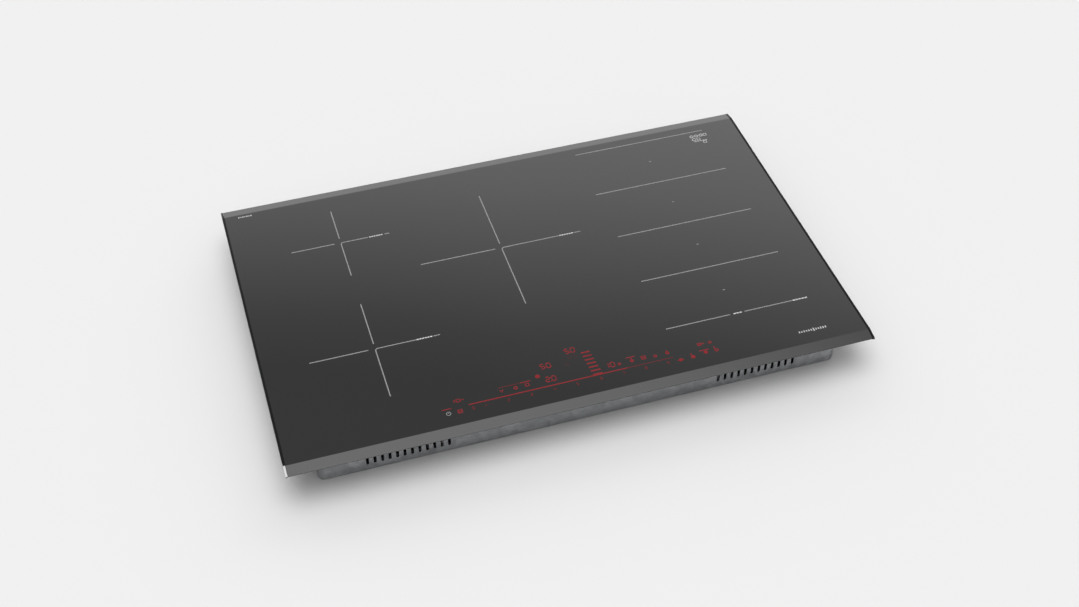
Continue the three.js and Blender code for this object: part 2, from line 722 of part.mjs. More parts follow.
// A moulding with a well over each figure and level bar, so that its lamps light only their own sign.
function displayLightGuide() {
  const low = PANEL.board + 2;
  const wells = [[-51, -187], [-11, -170], [-51, -212], [32, -212]].map(([x, y]) =>
    block(x, y, low - 1, x + 22, y + 12, GLASS_Z + 1),
  );
  const bar = block(14, -196, low - 1, 28, -172, GLASS_Z + 1);
  return cutBy(block(-57, -217, low, 59, -155, GLASS_Z - 0.4), [...wells, bar]);
}

// A flat cable that drops from the control panel to the front of the left module.
function ribbonCable() {
  const route = [[-206, PANEL.low - 0.5], [-206, 20], [-196, 11.5], [-144, 11.5]];
  return extrudedAlongX(offsetBand(route, 0.5), -190, -176);
}

add("control_panel_carrier", panelCarrier(), blackPlastic);
add("control_panel_board", panelBoard(), boardGreen);
add("display_light_guide", displayLightGuide(), lightGuide);
add("ribbon_cable", ribbonCable(), ribbonGrey);

export default cooktop;
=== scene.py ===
"""A built-in induction cooktop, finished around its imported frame. Metres, +Z up, +Y to the rear edge."""

import math
import random

import bmesh
import bpy
from mathutils import Matrix, Vector


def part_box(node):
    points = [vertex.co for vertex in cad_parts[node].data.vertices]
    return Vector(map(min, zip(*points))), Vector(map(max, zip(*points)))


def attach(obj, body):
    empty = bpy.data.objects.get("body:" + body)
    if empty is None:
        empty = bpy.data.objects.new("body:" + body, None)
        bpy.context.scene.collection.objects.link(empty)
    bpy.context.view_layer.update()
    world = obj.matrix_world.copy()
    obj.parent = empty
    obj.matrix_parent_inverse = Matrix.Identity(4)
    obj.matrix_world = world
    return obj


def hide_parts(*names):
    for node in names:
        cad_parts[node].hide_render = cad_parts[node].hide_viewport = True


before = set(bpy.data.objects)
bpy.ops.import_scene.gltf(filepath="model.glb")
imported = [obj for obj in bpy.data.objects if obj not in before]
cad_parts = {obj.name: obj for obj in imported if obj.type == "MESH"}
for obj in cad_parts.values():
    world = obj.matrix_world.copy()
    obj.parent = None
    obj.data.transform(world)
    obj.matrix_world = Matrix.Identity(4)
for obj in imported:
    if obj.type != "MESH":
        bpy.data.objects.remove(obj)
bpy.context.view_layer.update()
MM = 0.001


# ---- Camera and studio -----------------------------------------------------------------------------------
# The cook's view from the front left, halfway down to the glass. A plain pale floor, and a soft surround: a
# large softbox overhead, a tall bright sheet behind the table, and dim walls on its other sides.

def place_camera():
    azimuth, elevation, distance = math.radians(-17.36), math.radians(44.58), 2.102
    target = Vector((-0.0108, -0.0619, 0.054))
    level = math.cos(elevation)
    back = Vector((math.sin(azimuth) * level, -math.cos(azimuth) * level, math.sin(elevation)))
    camera = bpy.data.objects.new("camera", bpy.data.cameras.new("camera"))
    camera.data.lens = 50
    camera.data.sensor_width = 36
    camera.location = target + back * distance
    camera.rotation_euler = back.to_track_quat("Z", "Y").to_euler()
    bpy.context.collection.objects.link(camera)
    bpy.context.scene.camera = camera


class Wire:
    """One socket in a node tree. Sums written on it add Math nodes, and node() adds any other node."""

    def __init__(self, tree, socket=None):
        self.tree = tree
        self.socket = socket

    def node(self, kind, settings=None, sockets=None, output=0):
        """Adds a node. Its settings come first, then the values or links of its sockets."""
        made = self.tree.nodes.new(kind)
        for name, value in (settings or {}).items():
            if name == "stops":
                ramp = made.color_ramp.elements
                while len(ramp) < len(value):
                    ramp.new(0.5)
                for element, (place, level) in zip(ramp, value):
                    element.position = place
                    element.color = (level, level, level, 1)
            else:
                setattr(made, name, value)
        for name, value in (sockets or {}).items():
            if isinstance(value, Wire):
                self.tree.links.new(value.socket, made.inputs[name])
            else:
                made.inputs[name].default_value = value
        return Wire(self.tree, made.outputs[output] if made.outputs else None)

    def maths(self, operation, first, second=0.0):
        return self.node("ShaderNodeMath", {"operation": operation}, {0: first, 1: second})

    def then(self, operation, second=0.0):
        return self.maths(operation, self, second)

    def __add__(self, other):
        return self.maths("ADD", self, other)

    def __sub__(self, other):
        return self.maths("SUBTRACT", self, other)

    def __mul__(self, other):
        return self.maths("MULTIPLY", self, other)

    def __rsub__(self, other):
        return self.maths("SUBTRACT", other, self)

    def __gt__(self, other):
        return self.maths("GREATER_THAN", self, other)

    def __lt__(self, other):
        return self.maths("LESS_THAN", self, other)

    __radd__ = __add__
    __rmul__ = __mul__


def light_studio():
    scene = bpy.context.scene
    scene.view_settings.view_transform = "Standard"
    world = bpy.data.worlds.new("studio")
    world.use_nodes = True
    world.node_tree.nodes.clear()
    scene.world = world
    start = Wire(world.node_tree)
    way = start.node("ShaderNodeTexCoord", output="Generated")
    across, ahead, height = (start.node("ShaderNodeSeparateXYZ", {}, {0: way}, output=name) for name in "XYZ")
    left_reach, left_rise = 0.2, 0.13
    left = (left_reach - across).then("MAXIMUM", 0.0).then("MINIMUM", left_reach)
    brightest = 4.0

    def glow(surround):
        """The light from each height, from 0 at the horizon to 1 overhead. It dips sooner on the left."""
        stops = [(place, level / brightest) for place, level in surround]
        return start.node("ShaderNodeValToRGB", {"stops": stops}, {0: height + left * left_rise})

    softbox = [(0.743, 0.56), (0.79, 0.6), (0.875, 1.5), (0.918, 2.7), (0.943, 3.2), (1.0, 3.4)]
    sheet_foot = [(0.0, 0.5), (0.1, 0.6), (0.17, 1.9)]
    sheet_head = [(0.60, 2.05), (0.643, 1.78), (0.669, 1.43), (0.695, 1.06), (0.719, 0.72)]
    sheet = glow(sheet_foot + sheet_head + softbox)
    walls = glow([(0.0, 0.6)] + softbox)
    behind = across * 0.3 + ahead * 0.954
    sheet_edge, edge_slope = 0.45, 5.0
    in_sheet = ((behind - sheet_edge) * edge_slope).then("MAXIMUM", 0.0).then("MINIMUM", 1.0)
    lamp_glow = start.node(
        "ShaderNodeMix", {"data_type": "RGBA"}, {0: in_sheet, 6: walls, 7: sheet}, output=2)
    seen = start.node("ShaderNodeLightPath", output="Is Camera Ray")
    backdrop = start.node("ShaderNodeBackground", {}, {"Color": (0.86, 0.86, 0.86, 1)})
    lamp = start.node("ShaderNodeBackground", {}, {"Color": lamp_glow, "Strength": brightest})
    shown = start.node("ShaderNodeMixShader", {}, {0: seen, 1: lamp, 2: backdrop})
    start.node("ShaderNodeOutputWorld", {}, {"Surface": shown})


def lay_floor():
    reach, below = 30, -0.1 * MM
    corners = [(-reach, -reach, below), (reach, -reach, below), (reach, reach, below), (-reach, reach, below)]
    mesh = bpy.data.meshes.new("floor")
    mesh.from_pydata(corners, [], [(0, 1, 2, 3)])
    floor = bpy.data.objects.new("floor", mesh)
    material = bpy.data.materials.new("pale_floor")
    material.use_nodes = True
    shader = material.node_tree.nodes["Principled BSDF"].inputs
    shader["Base Color"].default_value = (0.62, 0.62, 0.62, 1)
    shader["Roughness"].default_value = 0.9
    shader["Specular IOR Level"].default_value = 0.0
    mesh.materials.append(material)
    bpy.context.collection.objects.link(floor)


place_camera()
light_studio()
lay_floor()


# ---- Glass-ceramic top -----------------------------------------------------------------------------------
# One plate of black glass-ceramic, 4 mm thick, polished, with a wide bevel ground along its front and rear
# edges and every sharp edge eased. It is glued to the tray and to the two side profiles.

def finish(name, **fixed):
    """A new material with uniform values on its shader, and a wire at the piece's own coordinates."""
    material = bpy.data.materials.new(name)
    material.use_nodes = True
    shader = material.node_tree.nodes["Principled BSDF"]
    for label, value in fixed.items():
        socket = shader.inputs[label.replace("_", " ")]
        socket.default_value = (*value, 1) if isinstance(value, tuple) else value
    point = Wire(material.node_tree).node("ShaderNodeTexCoord", output="Object")
    return material, point


def coat(point, **sockets):
    """Links what varies over the surface to the material's shader."""
    shader = point.tree.nodes["Principled BSDF"]
    for label, wire in sockets.items():
        point.tree.links.new(wire.socket, shader.inputs[label.replace("_", " ")])


def grain(point, scale, detail=2.0, stretch=(1, 1, 1)):
    """Noise from 0 to 1. Scale is in features per metre. A small stretch draws them out along that axis."""
    spread = point.node("ShaderNodeMapping", {}, {"Vector": point, "Scale": stretch})
    return point.node("ShaderNodeTexNoise", {}, {"Vector": spread, "Scale": scale, "Detail": detail})


def cells(point, scale, output="Distance"):
    return point.node("ShaderNodeTexVoronoi", {}, {"Vector": point, "Scale": scale}, output=output)


def mixed(factor, first, second):
    """A colour between two others."""
    first, second = (c if isinstance(c, Wire) else (*c, 1) for c in (first, second))
    return factor.node("ShaderNodeMix", {"data_type": "RGBA"}, {0: factor, 6: first, 7: second}, output=2)


def bump(height, strength, distance):
    return height.node("ShaderNodeBump", {}, {"Height": height, "Strength": strength, "Distance": distance})


def axis(point, name):
    return point.node("ShaderNodeSeparateXYZ", {}, {0: point}, output=name)


def mottled(name, dark, light, patch, rough=None, relief=None, **fixed):
    """A finish between two shades. Patch, rough and relief end in the arguments of their grain."""
    material, point = finish(name, **fixed)
    coat(point, Base_Color=mixed(grain(point, *patch), dark, light))
    if rough:
        low, span, *lines = rough
        coat(point, Roughness=low + grain(point, *lines) * span)
    if relief:
        strength, depth, *lines = relief
        coat(point, Normal=bump(grain(point, *lines), strength, depth))
    return material


def add_piece(name, mesh, material, body, replaces=()):
    """Puts a mesh in the scene and ties it to its body and the solid it stands for."""
    piece = bpy.data.objects.new(name, mesh)
    mesh.name = name
    if material:
        mesh.materials.clear()
        mesh.materials.append(material)
    bpy.context.collection.objects.link(piece)
    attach(piece, body)
    if replaces:
        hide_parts(*([replaces] if isinstance(replaces, str) else replaces))
    return piece


def to_mesh(shape, name):
    """A bmesh as a mesh with its faces outward, shaded smooth only across slight bends."""
    bmesh.ops.recalc_face_normals(shape, faces=shape.faces)
    for edge in shape.edges:
        edge.smooth = edge.calc_face_angle(0) < math.radians(35)
    mesh = bpy.data.meshes.new(name)
    shape.to_mesh(mesh)
    shape.free()
    return mesh


def ease(shape, width, segments=2, sharpest=30):
    """Rounds every edge that is sharper than an angle."""
    edges = [e for e in shape.edges if e.is_manifold and e.calc_face_angle(0) > math.radians(sharpest)]
    made = bmesh.ops.bevel(
        shape, geom=edges, offset=width, segments=segments, profile=0.5, affect="EDGES", clamp_overlap=True)
    for face in made["faces"]:
        face.smooth = True


def prism(section, low, high, along="X"):
    """A closed section swept straight along an axis. Its points are in the order of the other two axes."""
    shape = bmesh.new()
    place = {
        "X": lambda a, b, c: (c, a, b),
        "Y": lambda a, b, c: (a, c, b),
        "Z": lambda a, b, c: (a, b, c),
    }[along]
    ends = [[shape.verts.new(place(a, b, c)) for a, b in section] for c in (low, high)]
    shape.faces.new(ends[0])
    shape.faces.new(ends[1])
    for i in range(len(section)):
        j = (i + 1) % len(section)
        shape.faces.new((ends[0][i], ends[0][j], ends[1][j], ends[1][i]))
    bmesh.ops.recalc_face_normals(shape, faces=shape.faces)
    return shape


GLASS_LOW, GLASS_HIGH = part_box("glass_ceramic_top")
GLASS_TOP = GLASS_HIGH.z
FACET_WIDTH = 16 * MM
FACET_DROP = 3.3 * MM


def black_glass():
    material, point = finish("black_glass_ceramic", IOR=1.5)
    pigment = grain(point, 2600, detail=3)
    wiped = grain(point, 9, detail=4, stretch=(1, 0.35, 1))
    dust = grain(point, 1500, detail=1) > 0.74
    flow = grain(point, 14, detail=1)
    coat(
        point,
        Base_Color=mixed(pigment, (0.0072, 0.0073, 0.0076), (0.0098, 0.0099, 0.0102)),
        Roughness=0.025 + wiped * 0.03 + dust * 0.05,
        Normal=bump(flow, 0.04, 0.0004),
    )
    return material


def make_glass():
    half, low, edge = GLASS_HIGH.y, GLASS_LOW.z, GLASS_TOP - FACET_DROP
    section = [
        (-half, low), (half, low), (half, edge), (half - FACET_WIDTH, GLASS_TOP),
        (FACET_WIDTH - half, GLASS_TOP), (-half, edge)]
    shape = prism(section, GLASS_LOW.x, GLASS_HIGH.x)
    ease(shape, 0.22 * MM, segments=3, sharpest=8)
    mesh = to_mesh(shape, "glass")
    add_piece("glass_top_plate", mesh, black_glass(), "housing", "glass_ceramic_top")


make_glass()


# ---- Printed marks ---------------------------------------------------------------------------------------
# Fine light grey lines of enamel, screen-printed on the glass and fired: a cross over each round zone, as
# wide as the zone, five lines across the flexible zone, and small signs near the corners.

def shape_tree(name, inputs):
    """An empty Geometry Nodes tree with named inputs. Returns it and a wire at each input."""
    tree = bpy.data.node_groups.new(name, "GeometryNodeTree")
    tree.interface.new_socket("Geometry", in_out="OUTPUT", socket_type="NodeSocketGeometry")
    for label, kind in inputs.items():
        tree.interface.new_socket(label, in_out="INPUT", socket_type="NodeSocket" + kind)
    entry = tree.nodes.new("NodeGroupInput")
    return tree, {label: Wire(tree, entry.outputs[label]) for label in inputs}


def close_tree(geometry, material):
    """Ends a tree with real geometry in its material."""
    real = geometry.node("GeometryNodeRealizeInstances", {}, {0: geometry})
    painted = geometry.node("GeometryNodeSetMaterial", {}, {"Geometry": real, "Material": material})
    geometry.node("NodeGroupOutput", {}, {0: painted})


def repaint(mesh, material):
    """Leaves one material on a mesh."""
    mesh.materials.clear()
    if material:
        mesh.materials.append(material)
    return mesh


def grow(name, tree, host=None, **values):
    """Runs a tree with its inputs set, and returns what it makes as a plain mesh."""
    host = host or bpy.data.objects.new(name, bpy.data.meshes.new(name))
    bpy.context.collection.objects.link(host)
    modifier = host.modifiers.new("shape", "NODES")
    modifier.node_group = tree
    for item in tree.interface.items_tree:
        if item.in_out == "INPUT" and item.name.replace(" ", "_") in values:
            modifier[item.identifier] = values[item.name.replace(" ", "_")]
    made = host.evaluated_get(bpy.context.evaluated_depsgraph_get())
    mesh = bpy.data.meshes.new_from_object(made)
    bpy.data.objects.remove(host)
    return repaint(mesh, values.get("Material"))


def path_object(name, paths, closed=False):
    """A curve object with one straight-sided path for each list of points."""
    curve = bpy.data.curves.new(name, "CURVE")
    curve.dimensions = "3D"
    for points in paths:
        spline = curve.splines.new("POLY")
        spline.points.add(len(points) - 1)
        for target, point in zip(spline.points, points):
            target.co = (*point, 1)
        spline.use_cyclic_u = closed
    return bpy.data.objects.new(name, curve)


def sweep(paths, section, normals, material, smooth=False):
    """Ends a tree with a section swept along each path."""
    curves = paths.node("GeometryNodeSetCurveNormal", {"mode": normals}, {0: paths})
    swept = paths.node(
        "GeometryNodeCurveToMesh", {}, {"Curve": curves, "Profile Curve": section, "Fill Caps": True})
    if smooth:
        swept = paths.node("GeometryNodeSetShadeSmooth", {}, {"Geometry": swept})
    close_tree(swept, material)


def stroke_tree():
    """Sweeps a flat bar along each path."""
    tree, given = shape_tree("strokes", {
        "Geometry": "Geometry", "Width": "Float", "Thickness": "Float", "Material": "Material"})
    start = given["Width"]
    bar = start.node(
        "GeometryNodeCurvePrimitiveQuadrilateral", {}, {"Width": start, "Height": given["Thickness"]})
    sweep(given["Geometry"], bar, "Z_UP", given["Material"])
    return tree


STROKES = stroke_tree()
PRINT_THICK = 0.03 * MM
PRINT_GAP = 0.02 * MM


def on_glass(name, strokes, width, material):
    """Strokes on top of the glass, as thin bars. Their points and width are in millimetres."""
    height = GLASS_TOP + PRINT_GAP + PRINT_THICK / 2
    paths = [[(x * MM, y * MM, height) for x, y in stroke] for stroke in strokes]
    mesh = grow(
        name, STROKES, path_object(name, paths), Width=width * MM, Thickness=PRINT_THICK, Material=material)
    add_piece(name, mesh, None, "housing")


def enamel(name, low, high):
    """Grey enamel between two shades, with the grain of the printing screen."""
    return mottled(name, (low, low, low * 1.02), (high, high, high * 1.02), (4200, 1), Roughness=0.45)


def bend(x, y, radius, start=0, turn=360, steps=16):
    """Points along an arc about (x, y), from a start angle in degrees."""
    angles = [math.radians(start + turn * i / steps) for i in range(steps + 1)]
    return [(x + radius * math.cos(a), y + radius * math.sin(a)) for a in angles]


def zone_cross(x, y, reach, line_end, tick):
    """Left and upper arms that stop short of the middle; right and lower arms joined by a small bend."""
    gap, radius = 9.5, 4
    corner = bend(x + radius, y - radius, radius, start=90, turn=90, steps=6)
    return [
        [(x - reach, y), (x - gap, y)],
        [(x, y + reach), (x, y + gap)],
        [(line_end, y)] + corner + [(x, y - reach)],
        [(tick[0], y), (tick[1], y)],
    ]


def dashes(x0, x1, y, count):
    """A row of short dashes, where a hob has a small sign."""
    gap = 0.8
    pitch = (x1 - x0 + gap) / count
    return [[(x0 + i * pitch, y), (x0 + (i + 1) * pitch - gap, y)] for i in range(count)]


def uprights(x0, x1, y, heights):
    """A row of short upright strokes of different heights."""
    pitch = (x1 - x0) / (len(heights) - 1)
    return [[(x0 + i * pitch, y - h / 2), (x0 + i * pitch, y + h / 2)] for i, h in enumerate(heights)]


def box(x, y, half):
    """The outline of a square."""
    return [(x + a * half, y + b * half) for a, b in ((-1, -1), (1, -1), (1, 1), (-1, 1), (-1, -1))]


def print_marks():
    material = enamel("printed_enamel", 0.16, 0.245)
    bright = enamel("printed_enamel_bright", 0.38, 0.54)
    flex_left, flex_right = 139.5, 350.5
    flex_lines = (232, 133, 33.7, -65.6, -164.8)
    lines = zone_cross(-251, 142, 72.5, -210.5, (-185.5, -178.5))
    lines += zone_cross(-251, -82, 90.5, -193, (-169.5, -160))
    lines += zone_cross(-30, 62, 121, 57, (81, 91))
    lines += [[(flex_left, y), (flex_right, y)] for y in flex_lines[:-1]]
    low = flex_lines[-1]
    lines += [[(flex_left, low), (234.5, low)], [(256, low), (328, low)]]
    on_glass("zone_lines", lines, 1.6, material)
    signs = dashes(-209, -188.5, 142, 6) + dashes(-193, -171, -82, 6) + dashes(58, 79.5, 62, 6)
    signs += dashes(329, 351, low, 5) + dashes(239.5, 252, low, 3)
    on_glass("zone_signs", signs, 2.1, bright)
    dots = [[(243.4, y), (246.8, y)] for y in (183, 83.3, -15.9, -116)]
    on_glass("pan_centre_dots", dots, 1.4, material)
    corner = uprights(312, 351, -225.4, (3, 2.4, 3, 2.4, 3, 3, 6, 3.4, 3, 4, 4, 3.4))
    corner += uprights(-384, -366, 241.5, (3, 2, 3, 2, 3, 2, 3))
    on_glass("corner_signs", corner, 1.7, bright)
    badges = [bend(x, 221, 2.6) for x in (329, 336.5, 344)]
    badges += [box(x, y, 2.4) for x, y in ((330, 213), (337.5, 213), (345, 204), (351, 221))]
    badges += dashes(329, 350, 208, 5)
    on_glass("corner_badges", badges, 1.1, bright)


print_marks()


# ---- Lit signs -------------------------------------------------------------------------------------------
# Red light from the control panel's lamps, which shows as lit figures and lines in the glass above them: a
# slider line with its numbers, the levels of four zones as seven-segment figures, a stack of level bars,
# and key signs.

def lit(name, colour):
    material, point = finish(
        name, Base_Color=(0.01, 0.002, 0.002), Roughness=0.5, Specular_IOR_Level=0.1, Emission_Strength=1.0)
    uneven = grain(point, 320, detail=1)
    faded = tuple(level * 0.6 for level in colour)
    coat(point, Emission_Color=mixed(uneven, faded, colour))
    return material


SEGMENTS = ("abcdef", "bc", "abged", "abgcd", "fgbc", "afgcd", "afgedc", "abc", "abcdefg", "abcdfg")


def figure(digit, x, y, width, height):
    """The strokes of one seven-segment figure centred on (x, y)."""
    left, right, low, top = x - width / 2, x + width / 2, y - height / 2, y + height / 2
    places = {
        "a": ((left, top), (right, top)), "b": ((right, top), (right, y)), "c": ((right, y), (right, low)),
        "d": ((left, low), (right, low)), "e": ((left, y), (left, low)), "f": ((left, top), (left, y)),
        "g": ((left, y), (right, y))}
    strokes = []
    for segment in SEGMENTS[int(digit)]:
        start, stop = (Vector(end) for end in places[segment])
        trim = (stop - start).normalized() * 0.12 * width
        strokes.append([tuple(start + trim), tuple(stop - trim)])
    return strokes


def level_figures(text, x, y):
    """Two figures with an optional point between them."""
    spread, width, height = 4.2, 5.6, 8.4
    strokes = []
    for digit, dx in zip(text.replace(".", ""), (-spread, spread)):
        strokes += figure(digit, x + dx, y, width, height)
    if "." in text:
        strokes.append([(x - 0.5, y - height / 2), (x + 0.5, y - height / 2)])
    return strokes


def key_signs():
    """Generic signs for the keys, about 5 mm across: (kind, x, y, half its size) for each stroke."""
    kinds = {
        "bar": lambda x, y, half: [(x - half, y), (x + half, y)],
        "post": lambda x, y, half: [(x, y - half), (x, y + half)],
        "arrow": lambda x, y, half: [(x - half, y + half), (x, y - half), (x + half, y + half)],
        "box": box,
        "ring": bend,
    }
    signs = (
        ("bar", -186.5, -217, 6.5), ("box", -170, -225, 2.8), ("bar", -170, -225, 2.4),
        ("box", -168.2, -206.3, 2.4), ("post", -173.5, -206.3, 2), ("bar", -162.5, -206.3, 2),
        ("arrow", -108.6, -207.3, 2.2), ("ring", -89.3, -207.3, 2.2), ("box", -73.1, -206.5, 2.4),
        ("ring", -55.6, -196.3, 2.6), ("ring", -55.6, -196.3, 1), ("bar", -74.5, -200.8, 7.5),
        ("ring", 56.4, -207.4, 1.6), ("bar", 74.3, -200, 6.5), ("post", 74.3, -205, 3.4),
        ("ring", 74.3, -207, 2), ("box", 91.2, -205.8, 2.8), ("bar", 91.2, -205.8, 2),
        ("ring", 107.5, -207.9, 1.8), ("post", 125, -205, 2.6), ("ring", 125, -207.4, 2),
        ("bar", 138, -225, 4.4), ("ring", 138, -225, 2), ("ring", 156, -224.6, 2.4),
        ("ring", 156, -224.6, 1), ("post", 154.6, -219.5, 1.6), ("bar", 174.5, -217.3, 7),
        ("ring", 175.5, -221.5, 2.2), ("ring", 175.5, -221.5, 0.9), ("ring", 191, -222, 2.2),
        ("post", 189.6, -217, 2.4), ("box", 172, -205.4, 2.2), ("bar", 175.5, -205.4, 4),
        ("ring", 187.5, -205.9, 1.8))
    return [kinds[kind](x, y, half) for kind, x, y, half in signs]


def light_signs():
    strong = lit("lit_red_strong", (0.31, 0.017, 0.024))
    weak = lit("lit_red_weak", (0.19, 0.014, 0.02))
    slider_y, number_y = -217.4, -224.9
    on_glass("slider_line", [[(-157, slider_y), (64, slider_y)]], 1.8, strong)
    faint_lines = [[(64, slider_y), (130, slider_y)], [(-112, -200.8), (-84, -200.8)]]
    on_glass("faint_lines", faint_lines, 1.0, weak)
    numbers = []
    for digit, x in zip("0123456789", (-152, -136, -104, -72.5, -40, -8.5, 25, 56.7, 88.3, 120)):
        numbers += figure(digit, x, number_y, 2.2, 4.2)
    on_glass("slider_numbers", numbers, 1.15, weak)
    levels = level_figures("50", -40, -181.3) + level_figures("5.0", -0.3, -163.8)
    levels += level_figures("2.0", -40, -205.7) + level_figures("10", 42.7, -205.7)
    on_glass("level_figures", levels, 1.65, strong)
    stack = [[(13 + i * 0.5, -173 - i * 7.1), (25.5 + i * 0.7, -173 - i * 7.1)] for i in range(7)]
    on_glass("level_bars", stack, 2.3, strong)
    on_glass("key_signs", key_signs(), 1.5, strong)
    places = ((-11, -187), (-4, -176), (4, -176))
    resting = [stroke for x, y in places for stroke in figure("8", x, y, 4.6, 8)]
    on_glass("resting_figures", resting, 0.5, lit("lit_red_resting", (0.085, 0.035, 0.035)))
    power_x, power_y = -185.7, -224.9
    power = [bend(power_x, power_y, 2.9), [(power_x, power_y), (power_x, power_y + 3.9)]]
    on_glass("power_key_sign", power, 1.1, enamel("printed_enamel_dim", 0.13, 0.19))


light_signs()


# ---- Side profiles ---------------------------------------------------------------------------------------
# A slim extruded aluminium bar along each side of the glass, brushed lengthwise and anodised dark. Its
# front end is milled to the slope of the glass's bevel after anodising. Only the left bar's front end is
# coloured as bright bare metal, which is partly bare metal and partly a painted highlight; the right
# bar's front end is coloured dark like the rest.

def eased_copy(node, name, material, width, segments=2, body="housing"):
    """A copy of a CAD solid with whole flat faces and rounded edges, put in the solid's place."""
    shape = bmesh.new()
    shape.from_mesh(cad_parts[node].data)
    bmesh.ops.remove_doubles(shape, verts=shape.verts, dist=0.002 * MM)
    bmesh.ops.dissolve_limit(shape, angle_limit=math.radians(0.6), verts=shape.verts, edges=shape.edges)
    ease(shape, width, segments)
    return add_piece(name, to_mesh(shape, name), material, body, node)


def dark_anodised():
    material, point = finish("dark_anodised_aluminium", Metallic=1.0)
    brushed = grain(point, 900, detail=3, stretch=(1, 0.02, 1))
    # Painted highlight: the bright bare-metal colour goes on the left bar's front end only, where light
    # falls; it is partly the bare cut end.
    left_front_bare_and_highlight = (axis(point, "Y") < FACET_WIDTH + 0.2 * MM - GLASS_HIGH.y) * (axis(point, "X") < 0.0)
    dark = mixed(brushed, (0.007, 0.007, 0.0075), (0.015, 0.015, 0.016))
    bare_metal_and_highlight = mixed(brushed, (0.2, 0.2, 0.2), (0.32, 0.32, 0.32))
    coat(point, Base_Color=mixed(left_front_bare_and_highlight, dark, bare_metal_and_highlight), Roughness=0.24 + brushed * 0.16)
    return material


anodised = dark_anodised()
for side in ("left", "right"):
    eased_copy(f"side_trim_{side}", f"side_profile_{side}", anodised, 0.2 * MM, 3)


# ---- Seal and adhesive -----------------------------------------------------------------------------------
# A strip of closed-cell foam under the rim keeps spills out of the cut-out. A bead of black silicone joins
# the tray's flange to the glass and squeezes out a little along its edge.

def rounded_loop(half_x, half_y, radius, z, steps=6):
    """Points round a rounded rectangle, anticlockwise."""
    points = []
    for quarter, (sx, sy) in enumerate(((1, 1), (-1, 1), (-1, -1), (1, -1))):
        centre_x, centre_y = sx * (half_x - radius), sy * (half_y - radius)
        points += [(x, y, z) for x, y in bend(centre_x, centre_y, radius, 90 * quarter, 90, steps)]
    return points


def foam():
    material, point = finish("closed_cell_foam", Roughness=0.95, Specular_IOR_Level=0.2)
    bubbles = cells(point, 1900)
    skin = grain(point, 500)
    coat(
        point,
        Base_Color=mixed(skin, (0.035, 0.035, 0.037), (0.065, 0.065, 0.067)),
        Normal=bump(bubbles, 0.5, 0.0002),
    )
    return material


def strip_tree():
    """Sweeps a section with rounded corners along a closed path."""
    tree, given = shape_tree("strip", {
        "Geometry": "Geometry", "Width": "Float", "Height": "Float", "Corner": "Float",
        "Material": "Material"})
    start = given["Width"]
    bar = start.node(
        "GeometryNodeCurvePrimitiveQuadrilateral", {}, {"Width": start, "Height": given["Height"]})
    section = start.node(
        "GeometryNodeFilletCurve", {"mode": "POLY"}, {"Curve": bar, "Radius": given["Corner"], "Count": 3})
    sweep(given["Geometry"], section, "Z_UP", given["Material"])
    return tree


STRIP = strip_tree()


def lay_strip(name, node, width, corner, turn, material):
    """A strip inside the box of the CAD ring that it stands for."""
    low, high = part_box(node)
    path = rounded_loop(high.x - width / 2, high.y - width / 2, turn, (low.z + high.z) / 2, steps=8)
    mesh = grow(
        name, STRIP, path_object(name, [path], closed=True),
        Width=width, Height=high.z - low.z, Corner=corner, Material=material)
    add_piece(name, mesh, None, "housing", node)


silicone = mottled(
    "black_silicone", (0.01, 0.01, 0.01), (0.022, 0.022, 0.022), (300,), relief=(0.6, 0.0004, 120),
    Roughness=0.4)
lay_strip("foam_seal", "worktop_seal", 8 * MM, 0.8 * MM, 7 * MM, foam())
lay_strip("silicone_bead", "adhesive_bead", 6 * MM, 0.4 * MM, 12 * MM, silicone)


# ---- Tray ------------------------------------------------------------------------------------------------
# A shallow pan drawn from 1 mm galvanised steel, with an out-turned flange that is glued under the glass.
# Beads and screw dimples are pressed into its floor, and slots are punched in its floor, front and sides.

def galvanised():
    material, point = finish("galvanised_sheet", Metallic=1.0)
    spangle = cells(point, 130, output="Color")
    tone = axis(spangle, "X")
    rolled = grain(point, 700, detail=2, stretch=(0.05, 1, 1))
    stain = grain(point, 11, detail=4)
    light = mixed(tone, (0.36, 0.375, 0.39), (0.5, 0.51, 0.52))
    coat(
        point,
        Base_Color=mixed(stain * 0.5, light, (0.27, 0.28, 0.29)),
        Roughness=0.3 + tone * 0.12 + rolled * 0.12,
        Normal=bump(rolled, 0.08, 0.0001),
    )
    return material


def lathe(profile, steps=24):
    """Pairs of (radius, height) turned about Z. They start and end on the axis, or close on themselves."""
    shape = bmesh.new()
    nearly_nothing = 1e-7
    rings = []
    for radius, height in profile:
        count = 1 if radius < nearly_nothing else steps
        rings.append([shape.verts.new((x, y, height)) for x, y in bend(0, 0, radius, steps=steps)[:count]])
    for lower, upper in zip(rings, rings[1:]):
        for i in range(steps):
            j = (i + 1) % steps
            near = lower[i % len(lower)], lower[j % len(lower)]
            far = upper[j % len(upper)], upper[i % len(upper)]
            corners = list(dict.fromkeys(near + far))
            if len(corners) > 2:
                shape.faces.new(corners).smooth = steps > 6
    bmesh.ops.remove_doubles(shape, verts=shape.verts, dist=nearly_nothing)
    bmesh.ops.recalc_face_normals(shape, faces=shape.faces)
    return shape


def loft(loops):
    """A closed shell through loops of equal point counts, capped at its first and last loop."""
    shape = bmesh.new()
    rings = [[shape.verts.new(point) for point in loop] for loop in loops]
    for lower, upper in zip(rings, rings[1:]):
        for i in range(len(lower)):
            j = (i + 1) % len(lower)
            shape.faces.new((lower[i], lower[j], upper[j], upper[i]))
    shape.faces.new(rings[0])
    shape.faces.new(rings[-1])
    bmesh.ops.recalc_face_normals(shape, faces=shape.faces)
    return shape


